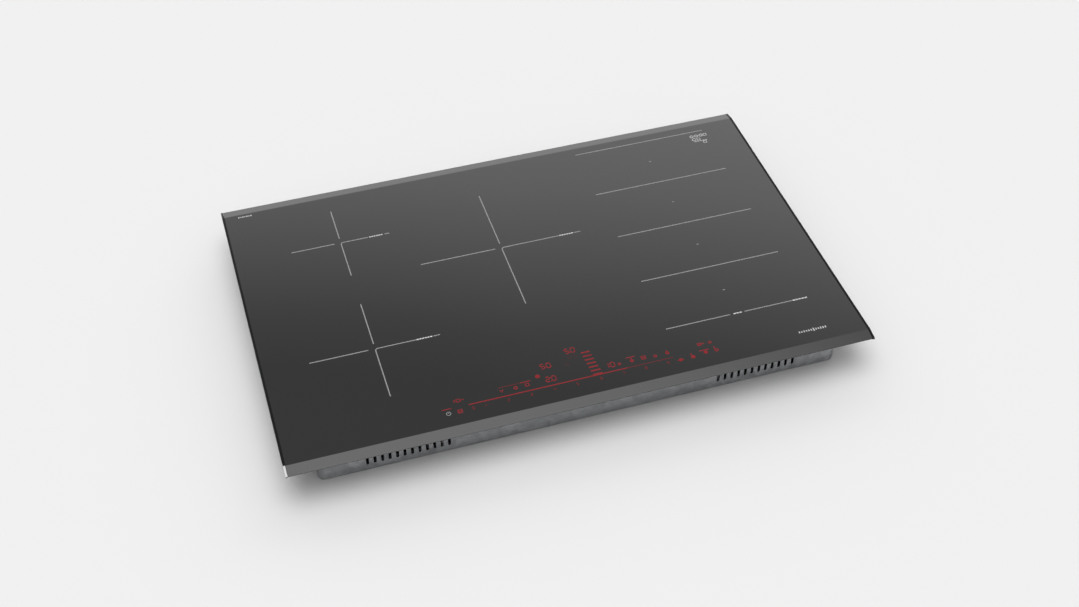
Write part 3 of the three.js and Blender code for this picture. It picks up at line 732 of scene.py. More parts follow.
def carve(body, tools, operation="DIFFERENCE"):
    """A mesh with tools cut from it, or joined to it. The tools are bmeshes."""
    joined = bmesh.new()
    for tool in tools:
        bmesh.ops.recalc_face_normals(tool, faces=tool.faces)
        piece = bpy.data.meshes.new("tool")
        tool.to_mesh(piece)
        tool.free()
        joined.from_mesh(piece)
        bpy.data.meshes.remove(piece)
    block = bpy.data.objects.new("block", body)
    cutter = bpy.data.objects.new("cutter", bpy.data.meshes.new("cutter"))
    joined.to_mesh(cutter.data)
    joined.free()
    for part in (block, cutter):
        bpy.context.collection.objects.link(part)
    cut = block.modifiers.new("cut", "BOOLEAN")
    cut.operation, cut.solver, cut.object = operation, "MANIFOLD", cutter
    made = block.evaluated_get(bpy.context.evaluated_depsgraph_get())
    mesh = bpy.data.meshes.new_from_object(made)
    for part in (block, cutter):
        bpy.data.objects.remove(part)
    return repaint(mesh, body.materials[0] if body.materials else None)


def pressed(x, y, length, width, height, wall, slope=1.6 * MM):
    """A raised form with round ends and sloped sides along X. With a wall it is the form's outer skin."""
    half_x, half_y = length / 2 + wall, width / 2 + wall
    radius = min(half_x, half_y) - 0.01 * MM
    low = wall * 0.3 if wall else -0.5 * MM
    loops = []
    for inset, z in ((0, low), (0, 0.05 * MM + wall * 0.4), (slope, height + wall)):
        loop = rounded_loop(half_x - inset, half_y - inset, radius - inset, z)
        loops.append([(x + px, y + py, pz) for px, py, pz in loop])
    return loft(loops)


def slot_field_tree():
    """Punches a field of round-ended slots through a shell, except those past the limit from its centre."""
    tree, given = shape_tree("slot_field", {
        "Geometry": "Geometry", "Centre": "Vector", "Turn": "Vector", "Across": "Int", "Down": "Int",
        "Pitch Across": "Float", "Pitch Down": "Float", "Length": "Float", "Width": "Float", "Depth": "Float",
        "Limit": "Float", "Material": "Material"})
    start = given["Width"]
    grid = start.node("GeometryNodeMeshGrid", {}, {
        "Size X": given["Pitch Across"] * (given["Across"] - 1),
        "Size Y": given["Pitch Down"] * (given["Down"] - 1),
        "Vertices X": given["Across"], "Vertices Y": given["Down"]})
    spot = start.node("GeometryNodeInputPosition")
    away = start.node("ShaderNodeVectorMath", {"operation": "LENGTH"}, {0: spot}, "Value")
    kept = start.node(
        "GeometryNodeDeleteGeometry", {"domain": "POINT"},
        {"Geometry": grid, "Selection": away > given["Limit"]})
    bar = start.node(
        "GeometryNodeCurvePrimitiveQuadrilateral", {}, {"Width": given["Length"], "Height": start})
    round_bar = start.node("GeometryNodeFilletCurve", {"mode": "POLY"}, {
        "Curve": bar, "Radius": start.then("MINIMUM", given["Length"]) * 0.499, "Count": 4})
    up = start.node("ShaderNodeCombineXYZ", {}, {2: given["Depth"]})
    down = start.node("ShaderNodeCombineXYZ", {}, {2: given["Depth"] * -1})
    line = start.node("GeometryNodeCurvePrimitiveLine", {}, {"Start": down, "End": up})
    punch = start.node(
        "GeometryNodeCurveToMesh", {}, {"Curve": line, "Profile Curve": round_bar, "Fill Caps": True})
    punches = start.node("GeometryNodeInstanceOnPoints", {}, {"Points": kept, "Instance": punch})
    placed = start.node("GeometryNodeTransform", {}, {
        "Geometry": start.node("GeometryNodeRealizeInstances", {}, {0: punches}),
        "Translation": given["Centre"],
        "Rotation": start.node("FunctionNodeEulerToRotation", {}, {0: given["Turn"]})})
    cut = start.node("GeometryNodeMeshBoolean", {"operation": "DIFFERENCE", "solver": "MANIFOLD"}, {
        "Mesh 1": given["Geometry"], "Mesh 2": placed})
    close_tree(cut, given["Material"])
    return tree


SLOT_FIELD = slot_field_tree()
EVERYWHERE = 1.0


def punch_slots(mesh, material, centre, turn, count, pitch, length, width, depth, limit=EVERYWHERE):
    """A sheet with a field of slots. Count and pitch are pairs, and pitch, length, width, depth are in mm."""
    return grow(
        "punched", SLOT_FIELD, bpy.data.objects.new("punched", mesh), Centre=centre, Turn=turn,
        Across=count[0], Down=count[1], Pitch_Across=pitch[0] * MM, Pitch_Down=pitch[1] * MM,
        Length=length * MM, Width=width * MM,
        Depth=depth * MM, Limit=limit, Material=material)


TRAY_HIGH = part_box("bottom_tray")[1]
SHEET = 1 * MM
FLANGE = 8 * MM
WALL_X, WALL_Y, RIM_Z = TRAY_HIGH.x - FLANGE, TRAY_HIGH.y - FLANGE, TRAY_HIGH.z
MODULE_X = 245 * MM
BLOWER_Y = 165 * MM
SPRING_Y = 165 * MM
SCREW_SPOTS = [(side * x * MM, y * MM) for side in (-1, 1) for x, y in (
    (180, -138), (310, -138), (180, 82), (310, 82), (196, 225), (294, 225), (322, -20), (150, -20))]
SCREW_SPOTS += [(-40 * MM, 105 * MM), (78 * MM, 105 * MM), (-40 * MM, 176 * MM), (0, -204 * MM)]


def pan_shell():
    """The drawn sheet as one closed shell: its outer skin from the floor to the rim, then back inside."""
    corner, floor_edge = 9 * MM, -7 * MM

    def loop(offset, z):
        return rounded_loop(WALL_X + offset, WALL_Y + offset, max(corner + offset, 1 * MM), z, steps=8)

    def arc(offset, z, radius, start, stop, steps=4):
        angles = [math.radians(start + (stop - start) * i / steps) for i in range(steps + 1)]
        return [loop(offset + radius * math.cos(a), z + radius * math.sin(a)) for a in angles]

    floor_bend, rim_bend = 3 * MM, 2.5 * MM
    loops = [loop(floor_edge, 0)]
    loops += arc(-floor_bend, floor_bend, floor_bend, -90, 0)
    loops += arc(rim_bend, RIM_Z - SHEET - rim_bend, rim_bend, 180, 90)
    loops += [loop(FLANGE, RIM_Z - SHEET), loop(FLANGE, RIM_Z)]
    loops += arc(rim_bend, RIM_Z - SHEET - rim_bend, rim_bend + SHEET, 90, 180)
    loops += arc(-floor_bend, floor_bend, floor_bend - SHEET, 0, -90)
    loops += [loop(floor_edge, SHEET)]
    shape = loft(loops)
    cell, large = 25, 4e-4
    for normal, reach in (((1, 0, 0), 350), ((0, 1, 0), 225)):
        for step in range(-reach, reach + 1, cell):
            faces = [
                f for f in shape.faces
                if abs(f.normal.z) > 0.99 and len(f.verts) > 8 or f.calc_area() > large]
            parts = list({item for f in faces for item in (*f.verts, *f.edges, f)})
            bmesh.ops.bisect_plane(shape, geom=parts, plane_co=Vector(normal) * (step * MM), plane_no=normal)
    return to_mesh(shape, "pan")


def smooth_bends(mesh):
    """Smooth shading on the bends of a sheet, and flat shading on its flat faces."""
    shape = bmesh.new()
    shape.from_mesh(mesh)
    bmesh.ops.recalc_face_normals(shape, faces=shape.faces)
    for face in shape.faces:
        face.smooth = max(abs(part) for part in face.normal) < 0.999
    return to_mesh(shape, "sheet")


def move(shape, matrix):
    """Turns and shifts a bmesh, and hands it back."""
    bmesh.ops.transform(shape, matrix=matrix, verts=shape.verts)
    return shape


def pressed_forms(wall):
    """Long stiffening beads in the floor, and a round dimple for each screw."""
    width, height = 9 * MM, 1.4 * MM
    forms = []
    for y, length in ((-222, 600), (-185, 640), (20, 96), (-100, 96), (200, 200)):
        forms.append(pressed(0, y * MM, length * MM, width, height, wall))
    for x in (-345, -120, 120, 345):
        bead = pressed(0, 0, 200 * MM, width, height, wall)
        place = Matrix.Translation((x * MM, -40 * MM, 0)) @ Matrix.Rotation(math.pi / 2, 4, "Z")
        forms.append(move(bead, place))
    for x, y in SCREW_SPOTS:
        forms.append(pressed(x, y, 13 * MM, 13 * MM, 2.6 * MM, wall, slope=1.8 * MM))
    return forms


def make_tray():
    material = galvanised()
    mesh = pan_shell()
    mesh = carve(mesh, pressed_forms(SHEET), "UNION")
    mesh = carve(mesh, pressed_forms(0.0))
    flat, in_front, in_side = (0, 0, 0), (math.pi / 2, 0, 0), (math.pi / 2, 0, math.pi / 2)
    for side in (-1, 1):
        x = side * MODULE_X
        intake, exhaust = (x, BLOWER_Y, 0), (x, -WALL_Y, 24 * MM)
        mesh = punch_slots(mesh, material, intake, flat, (7, 9), (14.4, 9.6), 11.5, 4, 6, limit=47 * MM)
        mesh = punch_slots(mesh, material, exhaust, in_front, (12, 1), (10, 1), 4, 24, 3)
        for y in (-SPRING_Y, SPRING_Y):
            hook = (side * WALL_X, y, 45.4 * MM)
            mesh = punch_slots(mesh, material, hook, in_side, (1, 1), (1, 1), 26, 4.4, 3)
    low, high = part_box("connection_box")
    gap, sill = 0.4 * MM, 1.9 * MM
    left, right, bottom, top = low.x - gap, high.x + gap, low.z - gap + sill, high.z + gap
    hole = prism(
        [(left, bottom), (right, bottom), (right, top), (left, top)],
        WALL_Y - 2.2 * MM, WALL_Y + 2 * MM, along="Y")
    mesh = smooth_bends(carve(mesh, [hole]))
    add_piece("pressed_tray", mesh, material, "housing", "bottom_tray")


make_tray()


# ---- Screws and rating plate -----------------------------------------------------------------------------
# Zinc-plated pan-head screws hold the modules from below, with their heads sunk in the floor's dimples. Two
# more and an earth stud are in the rear wall, next to a blank foil plate.

def screw_mesh(radius, height, shank):
    """A pan-head screw that points up, with a cross recess. The head's seat is at z = 0."""
    shape = lathe([
        (0, -shank), (radius * 0.45, -shank), (radius * 0.45, 0), (radius, 0), (radius, height * 0.45),
        (radius * 0.88, height * 0.78), (radius * 0.6, height * 0.96), (0, height)], steps=20)
    arm, reach = radius * 0.12, radius * 0.62
    quarter = [(arm, arm), (arm, reach), (-arm, reach)]
    section = []
    for cos, sin in ((1, 0), (0, 1), (-1, 0), (0, -1)):
        section += [(x * cos - y * sin, x * sin + y * cos) for x, y in quarter]
    return carve(to_mesh(shape, "screw"), [prism(section, height * 0.35, height + MM, along="Z")])


def scatter_tree():
    """Puts a shape on each point, turned about an axis by a seeded random angle."""
    tree, given = shape_tree("scatter", {
        "Geometry": "Geometry", "Shape": "Object", "Axis": "Vector", "Spin": "Float", "Seed": "Int",
        "Material": "Material"})
    start = given["Spin"]
    shape = start.node("GeometryNodeObjectInfo", {}, {"Object": given["Shape"]}, "Geometry")
    angle = start.node(
        "FunctionNodeRandomValue", {"data_type": "FLOAT"}, {2: 0.0, 3: start, "Seed": given["Seed"]}, 1)
    turn = start.node("ShaderNodeVectorMath", {"operation": "SCALE"}, {0: given["Axis"], "Scale": angle})
    placed = start.node("GeometryNodeInstanceOnPoints", {}, {
        "Points": given["Geometry"], "Instance": shape, "Rotation": turn})
    close_tree(placed, given["Material"])
    return tree


SCATTER = scatter_tree()
DOWN = Matrix.Rotation(math.pi, 4, "X")
TO_REAR = Matrix.Rotation(-math.pi / 2, 4, "X")
WALL_SCREWS = ((-40, 14), (136, 38), (-200, 30), (200, 30))


def scatter(name, shape, spots, material, seed, spin=math.tau, axis_of_turn=(0, 0, 1)):
    """Copies of a mesh at a list of places in the housing, as one piece."""
    dots = bpy.data.meshes.new(name)
    dots.from_pydata([tuple(spot) for spot in spots], [], [])
    model = bpy.data.objects.new(name + "_shape", shape)
    mesh = grow(
        name, SCATTER, bpy.data.objects.new(name, dots), Shape=model, Axis=axis_of_turn, Spin=spin, Seed=seed,
        Material=material)
    bpy.data.objects.remove(model)
    add_piece(name, mesh, None, "housing")


PLATE_X, PLATE_Z = -0.105, 0.026


def foil_plate():
    """Silver foil with a dark printed frame, a few bars and a block of cells."""
    material, point = finish("rating_foil", Metallic=0.9, Roughness=0.3)
    x, z = axis(point, "X"), axis(point, "Z")
    across = (x - PLATE_X).then("ABSOLUTE")
    up = (z - PLATE_Z).then("ABSOLUTE")
    frame_line = (across > 0.0418).then("MAXIMUM", up > 0.0153)
    bars = ((z * 250).then("FRACT") > 0.55) * (across > 0.012) * (across < 0.038) * (up < 0.012)
    cell = ((x * 500).then("FRACT") > 0.5) * (across < 0.009) * (up < 0.009)
    ink = frame_line.then("MAXIMUM", bars.then("MAXIMUM", cell))
    foil = mixed(grain(point, 60), (0.5, 0.5, 0.5), (0.68, 0.68, 0.68))
    coat(point, Base_Color=mixed(ink, foil, (0.03, 0.03, 0.03)))
    return material


def make_fasteners():
    zinc = mottled(
        "zinc_plated_steel", (0.42, 0.42, 0.41), (0.62, 0.62, 0.6), (180, 3), rough=(0.24, 0.2, 180, 3),
        Metallic=1.0)
    on_floor = [(x, y, 2.55 * MM) for x, y in SCREW_SPOTS]
    on_wall = [(x * MM, WALL_Y + 0.02 * MM, z * MM) for x, z in WALL_SCREWS]
    for name, facing, spots, seed, axis_of_turn in (
            ("floor_screws", DOWN, on_floor, 3, (0, 0, 1)),
            ("rear_wall_screws", TO_REAR, on_wall, 5, (0, 1, 0))):
        head = screw_mesh(3.3 * MM, 2.1 * MM, 4 * MM)
        head.transform(facing)
        scatter(name, head, spots, zinc, seed, axis_of_turn=axis_of_turn)
    washer = lathe([(1.9 * MM, 0), (5.2 * MM, 0), (5.2 * MM, 0.9 * MM), (1.9 * MM, 0.9 * MM), (1.9 * MM, 0)])
    nut = lathe(
        [(0, 0.9 * MM), (4 * MM, 0.9 * MM), (4 * MM, 3.6 * MM), (3.5 * MM, 4 * MM), (0, 4 * MM)], steps=6)
    stud = lathe([(0, -3 * MM), (2 * MM, -3 * MM), (2 * MM, 5.4 * MM), (1.6 * MM, 5.9 * MM), (0, 5.9 * MM)])
    mesh = carve(to_mesh(stud, "earth_stud"), [nut], "UNION")
    mesh = carve(mesh, [washer], "UNION")
    mesh.transform(Matrix.Translation((-15 * MM, WALL_Y, 32 * MM)) @ TO_REAR)
    add_piece("earth_stud", mesh, zinc, "housing")
    section = [(PLATE_X + x, PLATE_Z + z) for x, z, _ in rounded_loop(44 * MM, 17 * MM, 2 * MM, 0)]
    plate = prism(section, WALL_Y + 0.01 * MM, WALL_Y + 0.16 * MM, along="Y")
    add_piece("rating_plate", to_mesh(plate, "plate"), foil_plate(), "housing")


make_fasteners()


# ---- Fixing springs --------------------------------------------------------------------------------------
# Four springs bent from 1 mm strip hook through the tray's sides. Each bows outward to grip the cut-out's
# edge, and has an oval hole for the tool that pulls it in.

def rounded_path(points, radius):
    """A path with a bend in place of each corner."""
    steps = 4
    made = [tuple(points[0])]
    for before, here, after in zip(points, points[1:], points[2:]):
        corner = Vector(here)
        back, on = Vector(before) - corner, Vector(after) - corner
        reach = min(radius, back.length * 0.45, on.length * 0.45)
        start, stop = corner + back.normalized() * reach, corner + on.normalized() * reach
        for i in range(steps + 1):
            t = i / steps
            made.append(tuple(start * (1 - t) ** 2 + corner * (2 * t * (1 - t)) + stop * t * t))
    return made + [tuple(points[-1])]


def make_springs():
    rolled = (800, 2, (1, 0.05, 1))
    material = mottled(
        "spring_steel_strip", (0.3, 0.31, 0.33), (0.46, 0.46, 0.46), (30,), rough=(0.2, 0.2, *rolled),
        relief=(0.08, 0.0001, *rolled), Metallic=1.0)
    line = [(-4.2, 39), (-4.2, 45.4), (2.4, 45.4), (3.6, 42), (17, 27), (17, 24), (10, 8.2)]
    path = rounded_path([(x * MM, z * MM, 0) for x, z in line], 2.6 * MM)
    for side, hand in ((-1, "left"), (1, "right")):
        for y, end in ((-SPRING_Y, "front"), (SPRING_Y, "rear")):
            mesh = grow(
                "strip", STRIP, path_object("strip", [path]),
                Width=1 * MM, Height=23.9 * MM, Corner=0.25 * MM,
                Material=material)
            in_wall = ((side, 0, 0, side * WALL_X), (0, 0, -side, y), (0, 1, 0, 0), (0, 0, 0, 1))
            mesh.transform(Matrix(in_wall))
            hole = [(y + a, 33.6 * MM + b) for a, b, _ in rounded_loop(6 * MM, 2.6 * MM, 2.5 * MM, 0)]
            span = sorted((side * (WALL_X + 5 * MM), side * (WALL_X + 22 * MM)))
            mesh = carve(mesh, [prism(hole, *span)])
            add_piece(
                f"fixing_clip_{end}_{hand}", mesh, material, f"spring_{end}_{hand}",
                f"fixing_spring_{end}_{hand}")


make_springs()


# ---- Mains connection ------------------------------------------------------------------------------------
# A moulded box let into the rear wall holds the terminal block. Its cover swings on two moulded pins, and
# the cable enters beside it through a gland with a hexagonal flange, a ribbed cap and a threaded stem with
# a nut.

def moulded(name, dark, light, roughness=0.5, texture=1400):
    """Injection-moulded plastic with a fine spark-eroded texture."""
    return mottled(name, dark, light, (22, 3), relief=(0.22, 0.0001, texture), Roughness=roughness)


black_plastic = moulded("black_moulded_plastic", (0.011, 0.011, 0.012), (0.02, 0.02, 0.021))


def gland_cap(inner, outer, low, high):
    """The cap's ring, with 14 grip notches round it."""
    steps, notch = 14 * 4, 0.5 * MM
    shape = lathe([
        (inner, low), (outer, low), (outer, high - 1 * MM), (outer - 0.5 * MM, high - 0.3 * MM),
        (outer - 1.2 * MM, high), (inner + 0.6 * MM, high), (inner, high - 0.6 * MM), (inner, low)], steps)
    for vert in shape.verts:
        flat = math.hypot(vert.co.x, vert.co.y)
        if flat > outer - 0.8 * MM:
            around = math.atan2(vert.co.y, vert.co.x) / math.tau * steps
            if round(around) % 4 == 0:
                vert.co.x *= 1 - notch / flat
                vert.co.y *= 1 - notch / flat
    return shape


def make_gland():
    low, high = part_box("cable_gland")
    x, z = (low.x + high.x) / 2, (low.z + high.z) / 2
    wall_y = 240.6 * MM
    bore, stem, flange = 5.55 * MM, 8 * MM, 11 * MM
    inside, outside = low.y - wall_y, high.y - wall_y
    root, crest, pitch = stem - 0.7 * MM, stem - 0.05 * MM, 1.5 * MM
    thread = [(bore, inside)]
    for i in range(int(-inside / pitch)):
        base = inside + i * pitch
        thread += [(root, base), (crest, base + pitch * 0.45), (crest, base + pitch * 0.6)]
    thread += [(root, 0.6 * MM), (bore, 0.6 * MM), (bore, inside)]
    mesh = to_mesh(lathe(thread, steps=28), "gland")
    eased = flange * 0.96
    hexagon = lathe([
        (bore, 0.02 * MM), (eased, 0.02 * MM), (flange, 0.4 * MM), (flange, 1.6 * MM), (eased, 2 * MM),
        (bore, 2 * MM), (bore, 0.02 * MM)], steps=6)
    mesh = carve(mesh, [hexagon], "UNION")
    mesh = carve(mesh, [gland_cap(bore, 9.2 * MM, 1.9 * MM, outside)], "UNION")
    bored = lathe([(0, inside - MM), (bore, inside - MM), (bore, outside + MM), (0, outside + MM)], steps=28)
    mesh = carve(mesh, [bored])
    place = Matrix.Translation((x, wall_y, z)) @ TO_REAR
    mesh.transform(place)
    add_piece("screwed_cable_gland", mesh, black_plastic, "housing", "cable_gland")
    nut = lathe([
        (8.05 * MM, -5 * MM), (10.4 * MM, -5 * MM), (10.8 * MM, -4.6 * MM), (10.8 * MM, -2.5 * MM),
        (10.4 * MM, -2.1 * MM), (8.05 * MM, -2.1 * MM), (8.05 * MM, -5 * MM)], steps=6)
    add_piece("gland_nut", to_mesh(move(nut, place), "nut"), black_plastic, "housing")


def make_connection():
    eased_copy("connection_box", "terminal_box", black_plastic, 0.5 * MM)
    cover = eased_copy(
        "connection_box_cover", "terminal_box_cover", black_plastic, 0.3 * MM,
        body="terminal_cover")
    face_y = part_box("connection_box_cover")[1].y - 0.6 * MM
    ribs = []
    for z in (14, 17, 20, 23, 26):
        low, high = z * MM, (z + 0.9) * MM
        section = [(60 * MM, low), (102 * MM, low), (101.6 * MM, high), (60.4 * MM, high)]
        ribs.append(prism(section, face_y - 0.8 * MM, face_y + 0.3 * MM, along="Y"))
    cover.data = carve(cover.data, ribs, "UNION")
    white = moulded("white_glass_filled_plastic", (0.62, 0.61, 0.57), (0.72, 0.71, 0.67), 0.55)
    eased_copy("terminal_block", "five_pole_terminal_block", white, 0.3 * MM)
    low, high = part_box("terminal_block")
    poles = [(low.x + (6.5 + 13 * i) * MM, (low.y + high.y) / 2, high.z - 0.3 * MM) for i in range(5)]
    brass = mottled(
        "turned_brass", (0.5, 0.33, 0.12), (0.68, 0.48, 0.2), (600,), rough=(0.22, 0.15, 600), Metallic=1.0)
    head = lathe([
        (0, -2 * MM), (3 * MM, -2 * MM), (3 * MM, 1.1 * MM), (2.7 * MM, 1.4 * MM), (0, 1.4 * MM)], steps=20)
    slot = [(x * MM, y * MM) for x, y in ((-4, -0.4), (4, -0.4), (4, 0.4), (-4, 0.4))]
    mesh = carve(to_mesh(head, "slotted"), [prism(slot, 0.5 * MM, 2 * MM, along="Z")])
    scatter("terminal_screws", mesh, poles, brass, seed=8)


make_gland()
make_connection()


# ---- Coils -----------------------------------------------------------------------------------------------
# Each coil is a flat spiral of copper litz wire in a moulded former, with ferrite bars under it and a
# sprung sensor in its hub. The coils stand on three aluminium plates under sheets of mica.

def litz():
    material, point = finish("copper_litz", Metallic=0.85)
    strands = grain(point, 1500, detail=2)
    lacquer = grain(point, 60, detail=2)
    coat(
        point,
        Base_Color=mixed(strands, (0.32, 0.11, 0.04), mixed(lacquer, (0.62, 0.27, 0.12), (0.72, 0.35, 0.17))),
        Roughness=0.32 + strands * 0.2,
        Normal=bump(strands, 0.5, 0.0003),
    )
    return material


def aluminium(name, stretch):
    """Mill-finished aluminium with rolling or drawing lines along one direction."""
    lines = (700, 3, stretch)
    return mottled(
        name, (0.52, 0.53, 0.54), (0.66, 0.67, 0.68), (18, 3), rough=(0.28, 0.2, *lines),
        relief=(0.1, 0.0001, *lines), Metallic=1.0)


def mica():
    material, point = finish("mica_sheet", Roughness=0.4)
    flakes = cells(point, 260, output="Color")
    coat(
        point,
        Base_Color=mixed(axis(flakes, "X"), (0.42, 0.37, 0.27), (0.6, 0.55, 0.43)),
        Normal=bump(axis(flakes, "Y"), 0.1, 0.0001),
    )
    return material


def wire_tree():
    """Sweeps a round section along paths."""
    tree, given = shape_tree("round_wire", {
        "Geometry": "Geometry", "Radius": "Float", "Sides": "Int", "Material": "Material"})
    start = given["Radius"]
    section = start.node(
        "GeometryNodeCurvePrimitiveCircle", {}, {"Resolution": given["Sides"], "Radius": start})
    sweep(given["Geometry"], section, "MINIMUM_TWIST", given["Material"], smooth=True)
    return tree


WIRE = wire_tree()


def wires(name, paths, radius, material, sides=8, closed=False):
    return grow(name, WIRE, path_object(name, paths, closed), Radius=radius, Sides=sides, Material=material)


def spiral(x, y, z, inner, outer, straight, turns):
    """A flat spiral, drawn out along X by a straight length between its half turns."""
    steps = 36
    points = []
    for i in range(turns * steps + 1):
        angle = math.tau * i / steps
        radius = inner + (outer - inner) * i / (turns * steps)
        centres = dict.fromkeys(math.copysign(straight, math.cos(angle + nudge)) for nudge in (-1e-4, 1e-4))
        points += [(x + c + radius * math.cos(angle), y + radius * math.sin(angle), z) for c in centres]
    return points


def ring_tree():
    """Puts a shape round an axis a number of times."""
    tree, given = shape_tree("ring", {
        "Shape": "Object", "Count": "Int", "Centre": "Vector", "Start": "Float", "Material": "Material"})
    start = given["Start"]
    shape = start.node("GeometryNodeObjectInfo", {}, {"Object": given["Shape"]}, "Geometry")
    share = start.node("GeometryNodeInputIndex").then("DIVIDE", given["Count"])
    turn = start.node("ShaderNodeCombineXYZ", {}, {2: share * math.tau + start})
    dots = start.node("GeometryNodePoints", {}, {"Count": given["Count"], "Position": given["Centre"]})
    placed = start.node(
        "GeometryNodeInstanceOnPoints", {}, {"Points": dots, "Instance": shape, "Rotation": turn})
    close_tree(placed, given["Material"])
    return tree


RING = ring_tree()


def around(name, shape, count, centre, material, start=0.0):
    """A mesh repeated about an upright axis."""
    model = bpy.data.objects.new(name + "_shape", shape)
    mesh = grow(name, RING, Shape=model, Count=count, Centre=centre, Start=start, Material=material)
    bpy.data.objects.remove(model)
    return mesh


def together(name, meshes, material, body, replaces=()):
    """Several meshes as one piece."""
    shape = bmesh.new()
    for mesh in meshes:
        shape.from_mesh(mesh)
        bpy.data.meshes.remove(mesh)
    mesh = bpy.data.meshes.new(name)
    shape.to_mesh(mesh)
    shape.free()
    return add_piece(name, mesh, material, body, replaces)


def bar(length, width, low, high, x=0):
    """A flat bar along X, centred at x, with eased edges."""
    section = [(-width / 2, low), (width / 2, low), (width / 2, high), (-width / 2, high)]
    shape = prism(section, x - length / 2, x + length / 2)
    ease(shape, min(width, high - low) * 0.08, segments=1)
    return to_mesh(shape, "bar")


LITZ_RADIUS = 2.2 * MM
LITZ_PITCH = 4.5
LITZ_Z = 49.4 * MM
FLEX_X = 245
ROUND_COILS = {
    "rear_left": (-251, 142, [("rear_left", 22, 70)]),
    "front_left": (-251, -82, [("front_left", 22, 87)]),
    "centre": (-30, 62, [("centre_inner", 22, 62), ("centre_outer", 78, 118)]),
}
FLEX_Y = [33.6 + (2.5 - row) * 99.2 for row in (1, 2, 3, 4)]


def wind(name, x, y, inner, outer, straight, material):
    """A winding between two radii, in millimetres, in place of the plain ring of the CAD."""
    turns = int((outer - inner - 2 * LITZ_RADIUS / MM) / LITZ_PITCH)
    path = spiral(
        x * MM, y * MM, LITZ_Z, inner * MM + LITZ_RADIUS, outer * MM - LITZ_RADIUS, straight * MM, turns)
    mesh = wires(name, [path], LITZ_RADIUS, material)
    add_piece(f"litz_spiral_{name}", mesh, None, "housing", f"coil_winding_{name}")


def sensor_piece(zone, x, y, material):
    """A ceramic button on a stem, with a shallow pan in its top."""
    cap, stem, foot, top = 6.8 * MM, 4.8 * MM, 44 * MM, 52.9 * MM
    shape = lathe([
        (0, foot), (stem - 0.4 * MM, foot), (stem, foot + 0.4 * MM), (stem, top - 2 * MM),
        (cap - 0.2 * MM, top - 2 * MM), (cap, top - 1.8 * MM), (cap, top - 0.5 * MM),
        (cap - 0.15 * MM, top - 0.2 * MM), (cap - 0.6 * MM, top), (2.2 * MM, top), (2 * MM, top - 0.3 * MM),
        (0, top - 0.3 * MM)], steps=28)
    move(shape, Matrix.Translation((x * MM, y * MM, 0)))
    add_piece(
        f"zone_sensor_{zone}", to_mesh(shape, "sensor"), material, f"sensor_{zone}",
        f"temperature_sensor_{zone}")


def make_coils():
    wire, ferrite = litz(), moulded("sintered_ferrite", (0.02, 0.02, 0.021), (0.045, 0.045, 0.046), 0.6, 500)
    former = moulded("glass_filled_former", (0.2, 0.2, 0.19), (0.27, 0.27, 0.26), 0.6)
    ceramic = moulded("white_ceramic", (0.62, 0.61, 0.58), (0.74, 0.73, 0.7), 0.35)
    bar_width, bar_low, bar_high = 11 * MM, 41.4 * MM, 44.3 * MM
    for zone, (x, y, rings) in ROUND_COILS.items():
        reach = rings[-1][2]
        for name, inner, outer in rings:
            wind(name, x, y, inner, outer, 0, wire)
        length = (reach - 24) * MM
        piece = bar(length, bar_width, bar_low, bar_high, 18 * MM + length / 2)
        mesh = around("ferrites", piece, 8, (x * MM, y * MM, 0), ferrite, start=math.radians(22.5))
        add_piece(f"ferrite_bars_{zone}", mesh, None, "housing")
        eased_copy(f"coil_former_{zone}", f"moulded_former_{zone}", former, 0.25 * MM)
        sensor_piece(zone, x, y, ceramic)
    for row, y in enumerate(FLEX_Y, start=1):
        zone = f"flex_{row}"
        wind(zone, FLEX_X, y, 11, 46, 54, wire)
        piece = bar(32 * MM, bar_width, bar_low, bar_high)
        piece.transform(Matrix.Rotation(math.pi / 2, 4, "Z"))
        spots = [
            ((FLEX_X + x) * MM, (y + side * 28) * MM, 0) for x in (-66, -33, 0, 33, 66) for side in (-1, 1)]
        scatter(f"ferrite_bars_{zone}", piece, spots, ferrite, seed=row, spin=0.0)
        eased_copy(f"coil_former_{zone}", f"moulded_former_{zone}", former, 0.25 * MM)
        sensor_piece(zone, FLEX_X, y, ceramic)
    sheet, plate = mica(), aluminium("rolled_aluminium_plate", (0.05, 1, 1))
    for group in ("left", "centre", "flex"):
        eased_copy(f"coil_plate_{group}", f"aluminium_plate_{group}", plate, 0.2 * MM)
        eased_copy(f"insulation_sheet_{group}", f"mica_sheet_{group}", sheet, 0.1 * MM, 1)


make_coils()


# ---- Power modules ---------------------------------------------------------------------------------------
# Under the left and the right coils lies a green board with relays and transistors, cooled by an extruded
# heat sink with a radial blower behind it. A wound ring choke and a boxed film capacitor stand at its
# front.

def board(name, top):
    """Green solder mask with tracks. Whatever stands higher than the board's top is black or blue plastic."""
    material, point = finish(name, Roughness=0.4)
    z = axis(point, "Z")
    part = z > top + 0.0001
    across = (grain(point, 95, detail=0, stretch=(1, 0.12, 1)) * 9).then("FRACT") > 0.62
    along = (grain(point, 95, detail=0, stretch=(0.12, 1, 1)) * 9).then("FRACT") > 0.7
    track = across.then("MAXIMUM", along)
    mask = mixed(track, (0.008, 0.055, 0.02), (0.02, 0.105, 0.038))
    tall = z > top + 0.012
    parts = mixed(tall, (0.02, 0.02, 0.022), (0.02, 0.035, 0.075))
    coat(point, Base_Color=mixed(part, mask, parts), Normal=bump(track, 0.15, 0.0001))
    return material


